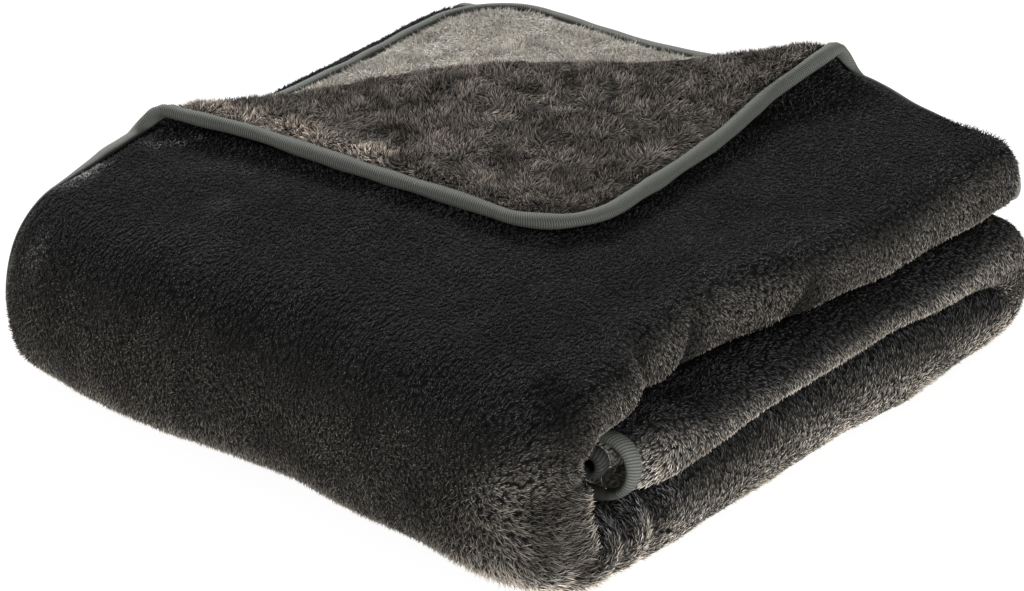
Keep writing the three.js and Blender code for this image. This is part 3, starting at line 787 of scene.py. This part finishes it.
# Along the strip: the tape inside the stack is pressed smaller
PRESSED_AT, PRESSED = [0, 700, 1100, 1500], [1, 1, 0.8, 0.8]
# Painted shade: the tape is darker where the cloth beside it sees little daylight
TAPE_SHADE = {"inside": 0.15, "open_air": (0.1, 0.8)}


def sweep_tape(name):
    bm = bmesh.new()
    rounds, over = len(spots), len(TAPE_SECTION)
    bmesh.ops.create_grid(bm, x_segments=rounds, y_segments=over, size=1)
    i = np.array([round((vert.co.x + 1) / 2 * rounds) for vert in bm.verts]) % rounds
    j = np.array([round((vert.co.y + 1) / 2 * over) for vert in bm.verts]) % over
    uneven = np.array([
        [noise.noise(Vector((*(spot / UNEVEN["size"]), seed))) for seed in UNEVEN["seeds"]]
        for spot in spots
    ])
    section = TAPE_SECTION[j] * between(PRESSED_AT, PRESSED, spots[i, 0])[:, None]
    outside = np.isin(j, list(RIBBED_POINTS))[:, None]
    plumper = (section - SECTION_MIDDLE) * UNEVEN["plump"] * uneven[i, :1]
    section = np.where(outside, section + plumper, section)
    crown = outside[:, 0] & (i % 2 == 0)
    raised = (section - SECTION_MIDDLE) / SECTION_REACH * RIB["height"]
    section += np.where(crown[:, None], raised, 0)
    round_the_edge = np.stack([inward[i, 1], -inward[i, 0]], 1)
    at = spots[i] + inward[i] * (section[:, :1] + UNEVEN["in_and_out"] * uneven[i, 1:])
    at += round_the_edge * section[:, :1] * RIB["slant"]
    points = folded(at[:, 0], at[:, 1], section[:, 1]) * MM
    # Painted shade, from the daylight beside each station
    in_daylight = fade(station_open_air[i], *TAPE_SHADE["open_air"])
    shades = TAPE_SHADE["inside"] + (1 - TAPE_SHADE["inside"]) * in_daylight
    rib, shade_here = (bm.verts.layers.float.new(layer) for layer in ("rib", "shade_here"))
    for vert, point, on_crown, shade in zip(bm.verts, points, crown, shades):
        vert.co = point
        vert[rib], vert[shade_here] = on_crown, shade
    bmesh.ops.remove_doubles(bm, verts=bm.verts[:], dist=1e-6)
    bmesh.ops.recalc_face_normals(bm, faces=bm.faces[:])
    for face in bm.faces:
        face.smooth = True
    return put_in_scene(name, finished_mesh(name, bm))


tape = sweep_tape("ribbed_edge_tape")
print("tape:", len(tape.data.polygons), "faces")

# %% [markdown]
# ## Finishes
#
# Colours are given as sRGB hex values and turned to linear light by one function. One
# small function adds a node with its settings and its links, for materials and for
# Geometry Nodes alike.

# %% Node helpers
def linear(hex_colour):
    parts = [int(hex_colour[k:k + 2], 16) / 255 for k in (1, 3, 5)]
    return [x / 12.92 if x <= 0.04045 else ((x + 0.055) / 1.055) ** 2.4 for x in parts] + [1]


def out(node, name=None):
    return next(s for s in node.outputs if s.enabled and name in (None, s.name))


def add(tree, kind, settings=None, inputs=None):
    """Adds a node. An input is given a plain value, a socket, or a node for its first output."""
    node = tree.nodes.new(kind)
    for name, value in (settings or {}).items():
        setattr(node, name, value)
    for key, value in (inputs or {}).items():
        socket = node.inputs[key] if isinstance(key, int) else next(
            s for s in node.inputs if s.name == key and s.enabled)
        if isinstance(value, bpy.types.Node):
            value = out(value)
        if isinstance(value, bpy.types.NodeSocket):
            tree.links.new(value, socket)
        else:
            socket.default_value = value
    return node


def new_material(name, roughness, sheen, tint):
    material = bpy.data.materials.new(name)
    material.use_nodes = True
    shader = material.node_tree.nodes["Principled BSDF"]
    shader.inputs["Roughness"].default_value = roughness
    shader.inputs["Specular IOR Level"].default_value = 0.2
    shader.inputs["Sheen Weight"].default_value = sheen
    shader.inputs["Sheen Roughness"].default_value = 0.35
    shader.inputs["Sheen Tint"].default_value = linear(tint)
    return material, material.node_tree, shader


# %% [markdown]
# ### Polyester plush
#
# Clipped polyester pile stands in small clumps, like little worms lying side by side.
# Cells on the flat cloth, bent by a noise, tell where the clumps are, with smaller cells
# where the dark face is rolled. The ground takes its bump and colour from them and the
# tufts their length and shade, so that both agree: the colour is a painted shade in the
# hollows between clumps and a painted light on their crowns. A slow noise makes the
# patches that a hand leaves in plush.

# %% Clumps and brushed patches
# Size of a clump along the strip and over its layers, in millimetres, where the cloth lies
# flat and where it is rolled
GRAIN = {"short": ((3.0, 2.5), (2.0, 1.7)), "fleece": ((2.4, 2.4),)}
# Lighter brush marks, where the nap lies the other way and catches the light: a painted
# sheen. Each has a place and a side of the flat cloth, a radius, and how light
DARK_MARKS = [
    {"at": (378, 33, 1), "size": 13, "light": 4.0},
    {"at": (364, 44, 1), "size": 13, "light": 6.0},
    {"at": (458, 25, 1), "size": 13, "light": 5.0},
    {"at": (442, 22, 1), "size": 14, "light": 9.0},
    {"at": (426, 19, 1), "size": 13, "light": 6.0},
    {"at": (347, 52, 1), "size": 9, "light": 3.0},
    {"at": (501, 44, 1), "size": 18, "light": 1.8},
    {"at": (420, 135, 1), "size": 15, "light": 1.6},
    {"at": (373, 119, 1), "size": 11, "light": 1.4},
]
LIGHT_MARKS = [{"at": (a, 20, -1), "size": 22, "light": 1.5} for a in range(170, 350, 22)]
print("brush marks:", len(DARK_MARKS), "dark,", len(LIGHT_MARKS), "light")


def clump_height(tree, flat_place, rolled, grain):
    """Height of the clumps: 1 on a clump's crown, down to 0 in the hollows between clumps."""
    heights = []
    for size in grain:
        stretched = add(tree, "ShaderNodeVectorMath", {"operation": "MULTIPLY"}, {
            0: flat_place, 1: (1 / (size[0] * MM), 1 / (size[1] * MM), 1)})
        wander = add(tree, "ShaderNodeTexNoise", None, {
            "Vector": stretched, "Scale": 0.9, "Detail": 1.0})
        pulled = add(tree, "ShaderNodeVectorMath", {"operation": "SCALE"}, {
            0: out(wander, "Color"), "Scale": 1.5})
        warped = add(tree, "ShaderNodeVectorMath", {"operation": "ADD"}, {0: stretched, 1: pulled})
        cells = add(tree, "ShaderNodeTexVoronoi", {"voronoi_dimensions": "2D", "feature": "F1"}, {
            "Vector": warped, "Scale": 1.0, "Randomness": 1.0})
        heights.append(add(tree, "ShaderNodeMapRange", {"interpolation_type": "SMOOTHSTEP"}, {
            "Value": out(cells, "Distance"), "From Min": 0.15, "From Max": 0.8,
            "To Min": 1.0, "To Max": 0.0}))
    if len(heights) == 1:
        return heights[0]
    on_top, on_rolls = heights
    return add(tree, "ShaderNodeMix", None, {"Factor": rolled, "A": on_top, "B": on_rolls})


def brushed(tree, flat_place, patch_size, strength, marks=()):
    """The shade of each patch that a hand has brushed, with the marks added as painted sheen."""
    patches = add(tree, "ShaderNodeTexNoise", None, {
        "Vector": flat_place, "Scale": 1 / (patch_size * MM), "Detail": 3.0, "Distortion": 0.6})
    shade = add(tree, "ShaderNodeMapRange", None, {
        "Value": patches, "From Min": 0.32, "From Max": 0.68,
        "To Min": 1 - strength, "To Max": 1 + strength})
    for mark in marks:
        spot_along, spot_across, spot_side = mark["at"]
        away = add(tree, "ShaderNodeVectorMath", {"operation": "DISTANCE"}, {
            0: flat_place, 1: (spot_along * MM, spot_across * MM, spot_side)})
        glow = add(tree, "ShaderNodeMapRange", {"interpolation_type": "SMOOTHSTEP"}, {
            "Value": out(away, "Value"), "From Min": 0.0, "From Max": mark["size"] * MM,
            "To Min": mark["light"], "To Max": 0.0})
        shade = add(tree, "ShaderNodeMath", {"operation": "ADD"}, {0: shade, 1: glow})
    return shade


def paint(tree, shader, colour, shade):
    """Gives the shader a colour times a shade and times the painted light and shade kept on the mesh.
    """
    here = out(add(tree, "ShaderNodeAttribute", {"attribute_name": "shade_here"}), "Fac")
    both = add(tree, "ShaderNodeMath", {"operation": "MULTIPLY"}, {0: shade, 1: here})
    shaded = add(tree, "ShaderNodeVectorMath", {"operation": "SCALE"}, {
        0: out(colour, "Result"), "Scale": both})
    tree.links.new(out(shaded), shader.inputs["Base Color"])


# On the rolls the crowns are painted paler, a painted light from the sides and floor, and browner
def crown_colour(tree, on_top, on_rolls):
    rolled = out(add(tree, "ShaderNodeAttribute", {"attribute_name": "rolled"}), "Fac")
    mixed = add(tree, "ShaderNodeMix", {"data_type": "RGBA"}, {
        "Factor": rolled, "A": linear(on_top), "B": linear(on_rolls)})
    return out(mixed, "Result")


# %% The ground under the pile
def ground_material(name, grain, hollow, crowns, sheen, patch_size, strength, bump, marks=()):
    material, tree, shader = new_material(name, 0.95, sheen, "#a8a49c")
    place = out(add(tree, "ShaderNodeAttribute", {"attribute_name": "flat"}), "Vector")
    rolled = out(add(tree, "ShaderNodeAttribute", {"attribute_name": "rolled"}), "Fac")
    height = clump_height(tree, place, rolled, grain)
    # Painted shade in the hollows between clumps, painted light on their crowns
    colour = add(tree, "ShaderNodeMix", {"data_type": "RGBA"}, {
        "Factor": height, "A": linear(hollow), "B": crown_colour(tree, *crowns)})
    paint(tree, shader, colour, brushed(tree, place, patch_size, strength, marks))
    relief = add(tree, "ShaderNodeBump", None, {
        "Height": height, "Strength": 1.0, "Distance": bump * MM})
    tree.links.new(out(relief), shader.inputs["Normal"])
    return material


# Anthracite plush: painted near black between the clumps as shade, charcoal on them
dark_ground = ground_material(
    "anthracite_plush_ground", GRAIN["short"], "#010101", ("#1b1c1c", "#383633"),
    0.04, 34, 0.3, 2.4, DARK_MARKS)
# Taupe plush: brown-grey roots, painted as shade between its looser locks, less dark than the
# anthracite's
light_ground = ground_material(
    "taupe_plush_ground", GRAIN["fleece"], "#171513", ("#6d6861", "#6d6861"),
    0.2, 24, 0.5, 2.6, LIGHT_MARKS)
# The same fibre below the turned corner, a lit copy painted much paler for the strong light from the
# back
painted_lit_ground = ground_material(
    "taupe_plush_ground_painted_lit", GRAIN["fleece"], "#8b867f", ("#e2ddd4", "#e2ddd4"),
    0.4, 26, 0.2, 2.2)
for ground in (dark_ground, light_ground, painted_lit_ground):
    cloth.data.materials.append(ground)
print("grounds:", cloth.data.materials.keys())


# %% Fibres of the pile
def pile_material(name, root, tips, sheen, patch_size, strength, marks=()):
    material, tree, shader = new_material(name, 0.85, sheen, "#b5b1a8")
    place = out(add(tree, "ShaderNodeAttribute", {"attribute_name": "flat"}), "Vector")
    height = out(add(tree, "ShaderNodeAttribute", {"attribute_name": "tip"}), "Fac")
    shade = out(add(tree, "ShaderNodeAttribute", {"attribute_name": "shade"}), "Fac")
    # Painted shade at the roots, paler towards the tips
    paler = add(tree, "ShaderNodeMath", {"operation": "POWER"}, {0: height, 1: 0.7})
    colour = add(tree, "ShaderNodeMix", {"data_type": "RGBA"}, {
        "Factor": paler, "A": linear(root), "B": crown_colour(tree, *tips)})
    each = add(tree, "ShaderNodeMath", {"operation": "MULTIPLY"}, {
        0: brushed(tree, place, patch_size, strength, marks), 1: shade})
    paint(tree, shader, colour, each)
    return material


# Dark matte fibre: roots painted near black as shade deep in the pile, charcoal tips
dark_pile = pile_material(
    "anthracite_polyester_pile", "#030303", ("#606161", "#827c74"), 0.04, 34, 0.25, DARK_MARKS)
# Longer taupe fibre with pale tips and roots painted dark as shade deep in the pile
light_pile = pile_material(
    "taupe_polyester_pile", "#201d1a", ("#aaa299", "#aaa299"), 0.22, 24, 0.6, LIGHT_MARKS)
# The same fibre below the turned corner, a lit copy with roots and tips painted much paler
painted_lit_fibre = pile_material(
    "taupe_pile_painted_lit", "#b5b0a8", ("#fbf7ef", "#fbf7ef"), 0.4, 26, 0.2)
print("fibres:", [fibre.name for fibre in (dark_pile, light_pile, painted_lit_fibre)])

# %% [markdown]
# ### Ribbed polyester tape
#
# A grosgrain-like woven tape: matte, with fine cross ribs whose crowns catch the light
# and whose hollows stay dark. Its colour is painted to match: a painted highlight on each
# crown and painted shade in each hollow.

# %% Tape material
# The threads of such tape are about 0.3 mm apart, too fine to show, so they are coarser here
THREAD = 0.8


def tape_material():
    material, tree, shader = new_material("ribbed_polyester_tape", 0.7, 0.1, "#a5a59d")
    at = out(add(tree, "ShaderNodeTexCoord"), "Object")
    rib = out(add(tree, "ShaderNodeAttribute", {"attribute_name": "rib"}), "Fac")
    threads = add(tree, "ShaderNodeTexNoise", None, {
        "Vector": at, "Scale": 1 / (THREAD * MM), "Detail": 2.0})
    # Painted highlight on the rib crowns, painted shade in the hollows
    colour = add(tree, "ShaderNodeMix", {"data_type": "RGBA"}, {
        "Factor": rib, "A": linear("#4b4d48"), "B": linear("#8d9089")})
    worn = add(tree, "ShaderNodeMapRange", None, {
        "Value": threads, "From Min": 0.3, "From Max": 0.7, "To Min": 0.8, "To Max": 1.2})
    paint(tree, shader, colour, worn)
    return material


tape.data.materials.append(tape_material())
print("tape finish:", tape.data.materials.keys())

# %% [markdown]
# ## The pile
#
# Real pile has millions of fibres. Here a tuft of fibres is one small three-sided cone,
# drawn coarser than the fibre so that it still shows. Geometry Nodes scatters tufts over
# the faces in daylight, leans them the way the cloth was brushed, and makes them real
# mesh. Hair curves would be finer, but they aren't mesh.

# %% One tuft
def tuft_object(name):
    bm = bmesh.new()
    bmesh.ops.create_cone(bm, cap_ends=False, segments=3, radius1=0.5, radius2=0, depth=1)
    bmesh.ops.translate(bm, verts=bm.verts[:], vec=(0, 0, 0.5))
    mesh = finished_mesh(name, bm)
    keep_attribute(mesh, "tip", "FLOAT", coordinates(mesh)[:, 2])
    return bpy.data.objects.new(name, mesh)


tuft = tuft_object("tuft")
print("tuft faces:", len(tuft.data.polygons))


# %% The way a tuft points
def tuft_turn(tree, kind, seed, normal, nap, flat_place):
    """Turns a tuft off the cloth, along the nap, with its neighbours and a little astray."""
    swirl = add(tree, "ShaderNodeTexNoise", None, {
        "Vector": flat_place, "Scale": 1 / (kind["swirl_size"] * MM), "Detail": 1.0})
    swirl_way = add(tree, "ShaderNodeVectorMath", {"operation": "SUBTRACT"}, {
        0: out(swirl, "Color"), 1: (0.5, 0.5, 0.5)})
    way = add(tree, "FunctionNodeRandomValue", {"data_type": "FLOAT_VECTOR"}, {
        "Min": (-kind["stray"],) * 3, "Max": (kind["stray"],) * 3, "Seed": seed * 10 + 1})
    parts = [(kind["stand"], normal), (kind["lean"], nap), (kind["swirl"] * 2, swirl_way)]
    for share, part in parts:
        scaled = add(tree, "ShaderNodeVectorMath", {"operation": "SCALE"}, {0: part, "Scale": share})
        way = add(tree, "ShaderNodeVectorMath", {"operation": "ADD"}, {0: way, 1: scaled})
    spin = add(tree, "FunctionNodeRandomValue", {"data_type": "FLOAT"}, {
        "Min": 0.0, "Max": 6.28, "Seed": seed * 10 + 2})
    spun = add(tree, "FunctionNodeAxisAngleToRotation", None, {"Axis": (0, 0, 1), "Angle": spin})
    return add(tree, "FunctionNodeAlignRotationToVector", {"axis": "Z"}, {
        "Rotation": spun, "Vector": way})


# %% The size of a tuft
def tuft_size(tree, kind, seed, length, clumps):
    """Makes a tuft longer on the crown of a clump than in the hollow between clumps."""
    each = add(tree, "FunctionNodeRandomValue", {"data_type": "FLOAT"}, {
        "Min": 0.75, "Max": 1.25, "Seed": seed * 10 + 3})
    crown = add(tree, "ShaderNodeMapRange", None, {"Value": clumps, "To Min": 0.6, "To Max": 1.25})
    tall = add(tree, "ShaderNodeMath", {"operation": "MULTIPLY"}, {0: length, 1: each})
    taller = add(tree, "ShaderNodeMath", {"operation": "MULTIPLY"}, {0: tall, 1: crown})
    size = add(tree, "ShaderNodeCombineXYZ", None, {"X": each, "Y": each, "Z": taller})
    return add(tree, "ShaderNodeVectorMath", {"operation": "MULTIPLY"}, {
        0: size, 1: (kind["width"] * MM, kind["width"] * MM, kind["length"] * MM)})


# %% The shade of a tuft
def tuft_shade(tree, kind, seed, clumps):
    """Paints a tuft darker in the hollow between clumps and paler on a crown, as shade and light, and
    makes each a little different.
    """
    own = add(tree, "FunctionNodeRandomValue", {"data_type": "FLOAT"}, {
        "Min": kind["shade"][0], "Max": kind["shade"][1], "Seed": seed * 10 + 4})
    pale = add(tree, "ShaderNodeMapRange", None, {
        "Value": clumps, "To Min": kind["crown"][0], "To Max": kind["crown"][1]})
    return add(tree, "ShaderNodeMath", {"operation": "MULTIPLY"}, {0: own, 1: pale})


# %% Scattering tufts with Geometry Nodes
FEWER = 1.0


def pile_nodes(name, kind, seed):
    tree = bpy.data.node_groups.new(name, "GeometryNodeTree")
    for in_out in ("INPUT", "OUTPUT"):
        tree.interface.new_socket("Geometry", in_out=in_out, socket_type="NodeSocketGeometry")
    start, end = add(tree, "NodeGroupInput"), add(tree, "NodeGroupOutput")
    thickset, length, rolled = (
        add(tree, "GeometryNodeInputNamedAttribute", {"data_type": "FLOAT"}, {"Name": attribute})
        for attribute in ("thickset", "pile_length", "rolled"))
    nap, flat_place = (
        add(tree, "GeometryNodeInputNamedAttribute", {"data_type": "FLOAT_VECTOR"}, {"Name": attribute})
        for attribute in ("nap", "flat"))
    scatter = add(tree, "GeometryNodeDistributePointsOnFaces", {"distribute_method": "POISSON"}, {
        "Mesh": start, "Distance Min": kind["spacing"] * MM,
        "Density Max": kind["per_mm2"] * FEWER * 1e6, "Density Factor": thickset, "Seed": seed})
    clumps = clump_height(tree, flat_place, rolled, kind["grain"])
    on_crown = add(tree, "FunctionNodeCompare", {"data_type": "FLOAT", "operation": "GREATER_THAN"}, {
        "A": clumps, "B": kind["bare_below"]})
    placed = add(tree, "GeometryNodeInstanceOnPoints", None, {
        "Points": scatter, "Selection": on_crown,
        "Rotation": tuft_turn(tree, kind, seed, out(scatter, "Normal"), nap, flat_place),
        "Scale": tuft_size(tree, kind, seed, length, clumps),
        "Instance": out(add(tree, "GeometryNodeObjectInfo", None, {"Object": tuft}), "Geometry")})
    per_tuft = {"data_type": "FLOAT", "domain": "INSTANCE"}
    shaded = add(tree, "GeometryNodeStoreNamedAttribute", per_tuft, {
        "Geometry": placed, "Name": "shade", "Value": tuft_shade(tree, kind, seed, clumps)})
    real = add(tree, "GeometryNodeRealizeInstances", None, {"Geometry": shaded})
    tree.links.new(out(real), end.inputs[0])
    return tree


# %% Growing one piece of pile
def grow_pile(name, chosen, kind, seed, material):
    """Copies the chosen faces as a bed, grows tufts on it, and keeps only the tufts."""
    bm = bmesh.new()
    bm.from_mesh(cloth_mesh)
    bm.faces.ensure_lookup_table()
    left_out = [bm.faces[i] for i in np.flatnonzero(~chosen)]
    bmesh.ops.delete(bm, geom=left_out, context="FACES")
    bed_mesh = finished_mesh(name + "_bed", bm)
    bed = put_in_scene(name + "_bed", bed_mesh)
    growing = bed.modifiers.new("pile", "NODES")
    growing.node_group = pile_nodes(name, kind, seed)
    depsgraph = bpy.context.evaluated_depsgraph_get()
    mesh = bpy.data.meshes.new_from_object(
        bed.evaluated_get(depsgraph), preserve_all_data_layers=True, depsgraph=depsgraph)
    mesh.name = name
    mesh.materials.clear()
    mesh.materials.append(material)
    area = sum(face.area for face in bed_mesh.polygons)
    bpy.data.objects.remove(bed)
    print(f"{name}: {len(mesh.polygons)} faces on {area:.3f} square metres")
    return put_in_scene(name, mesh)


# %% [markdown]
# ### Where the pile grows
#
# The real cloth has pile everywhere. Here only the faces that show get it, sorted by where
# they are in the stack, because it lies differently on the top, on the rolls and on the
# turned corner.

# %% Where each kind of pile grows
# Limits of each place in the stack, in millimetres, and of how far a face looks up or back
UNDERSIDE = {"looks_up": -0.8, "below": 12}
TOP = {"looks_up": 0.75, "above": 90}
FRONT = {"before": -205, "looks_back": 0.2}
RIGHT_FROM, ABOVE_FLOOR = 150, 3
# A slanting line parts the top in two, so that each piece stays well under 200,000 triangles
PARTING = {"slope": 0.4, "at": 20}

centres = values_of(cloth_mesh.polygons, "center", 3) / MM
normals = values_of(cloth_mesh.polygons, "normal", 3)
is_light = values_of(cloth_mesh.polygons, "material_index") > 0
first_corners = values_of(cloth_mesh.polygons, "loop_start")
face_along, face_across = flat[values_of(cloth_mesh.loops, "vertex_index")[first_corners], :2].T

shown = (seen > SEEN_FROM) & (centres[:, 2] > ABOVE_FLOOR)
underneath = (normals[:, 2] < UNDERSIDE["looks_up"]) & (centres[:, 2] < UNDERSIDE["below"])
top_layer = (face_along < RUN_STARTS[1]) & (face_across < PANEL_STARTS[1])
on_turned = top_layer & (past_turning_line(face_along, face_across) > -FOLD_STEP)

dark_shown = shown & ~is_light & ~underneath
top = dark_shown & (normals[:, 2] > TOP["looks_up"]) & (centres[:, 2] > TOP["above"])
front = dark_shown & ~top & (centres[:, 1] < FRONT["before"]) & (normals[:, 1] < FRONT["looks_back"])
rest = dark_shown & ~top & ~front
right = rest & (centres[:, 0] > RIGHT_FROM)
elsewhere = rest & ~right
top_left = top & (centres[:, 0] + PARTING["slope"] * centres[:, 1] < PARTING["at"])
top_right = top & ~top_left
light_turned = shown & is_light & on_turned
light_below = shown & is_light & ~on_turned & ~underneath
kind_of_ground = np.where(is_light, np.where(on_turned, 1, 2), 0)
cloth_mesh.polygons.foreach_set("material_index", kind_of_ground.astype(np.int32))
print("faces with dark pile:", int(dark_shown.sum()), "turned light:", int(light_turned.sum()))

# %% How thick and how long it grows
THICKSET = {"open_air": (0.05, 0.35), "from_edge": (HEM_INSET - 2, HEM_INSET + 2)}
# Longer fibre low on the rolls and at the near corner, where it is combed and deep, and at
# the far end of the top roll, counted from the cloth's edge
LOW_DOWN, FAR_END = (110, 40), (30, 18)
LONGER = {"low_down": 0.4, "near_corner": 1.6, "far_end": 1.5}

thickset = fade(open_air, *THICKSET["open_air"])
thickset *= fade(from_edge(along, across), *THICKSET["from_edge"])
keep_attribute(cloth_mesh, "thickset", "FLOAT", thickset)
far_end = fade(along, *FAR_END) * (dark & (across > PANEL_STARTS[1] - FAR_END[0]))
longer = fade(z, *LOW_DOWN) * (LONGER["low_down"] + LONGER["near_corner"] * near_corner)
longer += LONGER["far_end"] * far_end
keep_attribute(cloth_mesh, "pile_length", "FLOAT", 1 + longer)
print(f"pile up to {1 + longer.max():.1f} times as long")

# %% Growing it
# Lengths are in millimetres. Stand, lean, swirl and stray are parts of the way a tuft
# points, and bare below is the height of a clump under which no tuft grows.
SHORT_PILE = {
    "per_mm2": 1.0, "spacing": 0.8, "length": 1.7, "width": 0.75, "stand": 0.6, "lean": 0.4,
    "swirl": 0.8, "swirl_size": 45, "stray": 0.4, "grain": GRAIN["short"], "bare_below": 0.5,
    "shade": (0.6, 1.4), "crown": (0.0, 1.4),
}
ROLL_PILE = {**SHORT_PILE, "stand": 0.5, "lean": 0.9}
LONG_PILE = {
    "per_mm2": 1.6, "spacing": 0.6, "length": 3.4, "width": 0.75, "stand": 0.7, "lean": 0.3,
    "swirl": 2.4, "swirl_size": 18, "stray": 0.5, "grain": GRAIN["fleece"], "bare_below": 0.1,
    "shade": (0.5, 1.5), "crown": (0.4, 1.35),
}
# Fewer, paler and more even tufts for the painted-lit copy of the taupe pile
LIT_TAUPE_PILE = {
    **LONG_PILE, "per_mm2": 0.5, "bare_below": 0.0, "shade": (0.75, 1.25), "crown": (0.8, 1.25),
}
pile_pieces = [
    grow_pile("dark_pile_top_left", top_left, SHORT_PILE, 1, dark_pile),
    grow_pile("dark_pile_top_right", top_right, SHORT_PILE, 2, dark_pile),
    grow_pile("dark_pile_front", front, SHORT_PILE, 3, dark_pile),
    grow_pile("dark_pile_right", right, ROLL_PILE, 4, dark_pile),
    grow_pile("dark_pile_elsewhere", elsewhere, {**ROLL_PILE, "per_mm2": 0.25}, 5, dark_pile),
    grow_pile("light_pile_turned", light_turned, LONG_PILE, 6, light_pile),
    grow_pile("light_pile_below", light_below, LIT_TAUPE_PILE, 7, painted_lit_fibre),
]

# %% [markdown]
# ## The studio
#
# The photograph's ground is pure white and throws light back up at the lowest edges, like
# a lit table. So the floor is grey paper that glows. One large soft lamp stands at the
# back left and lights the far corner, whose taupe pile is also painted paler, and two
# stand low at the sides.

# %% Floor
FLOOR_REACH = 6


def studio_floor():
    bm = bmesh.new()
    bmesh.ops.create_grid(bm, x_segments=1, y_segments=1, size=FLOOR_REACH)
    bmesh.ops.translate(bm, verts=bm.verts[:], vec=(0, 0, -0.5 * MM))
    floor = put_in_scene("studio_floor", finished_mesh("studio_floor", bm))
    paper, _, shader = new_material("lit_studio_paper", 0.9, 0, "#ffffff")
    shader.inputs["Base Color"].default_value = linear("#707070")
    shader.inputs["Emission Color"].default_value = linear("#ffffff")
    shader.inputs["Emission Strength"].default_value = 0.95
    floor.data.materials.append(paper)


studio_floor()
print("floor", 2 * FLOOR_REACH, "m square")

# %% Lamps
LAMPS = [
    {"name": "lamp_back_left", "at": (-2.1, 1.7, 1.9), "size": 1.2, "watts": 95},
    {"name": "lamp_left", "at": (-2.6, -1.0, 0.6), "size": 1.0, "watts": 24},
    {"name": "lamp_right", "at": (2.6, -0.9, 0.24), "size": 1.0, "watts": 50},
]


def soft_lamp(name, at, size, watts):
    light = bpy.data.lights.new(name, "AREA")
    light.shape, light.size, light.energy = "DISK", size, watts
    lamp = put_in_scene(name, light)
    lamp.location = at
    lamp.rotation_euler = Vector(at).to_track_quat("Z", "Y").to_euler()


for row in LAMPS:
    soft_lamp(**row)
    print(row["name"], row["watts"], "W")
world = bpy.data.worlds.new("studio_sky")
bpy.context.scene.world = world
world.use_nodes = True
world.node_tree.nodes["Background"].inputs["Color"].default_value = (1, 1, 1, 1)
world.node_tree.nodes["Background"].inputs["Strength"].default_value = 0.28
bpy.context.scene.view_settings.view_transform = "Standard"

# %% [markdown]
# ## Handing the pieces to the frame
#
# Every piece rides on the one body, and the CAD parts they stand in for are hidden.

# %% The pieces on their body
for piece, slot in [(cloth, "plush"), (tape, "ribbed_tape"), *((p, "plush") for p in pile_pieces)]:
    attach(piece, "root")
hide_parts("blanket_cloth")
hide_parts("edge_tape")
meshes = [piece.data for piece in (cloth, tape, *pile_pieces)]
triangles = sum(len(mesh.loops) - 2 * len(mesh.polygons) for mesh in meshes)
print("triangles in all:", triangles)
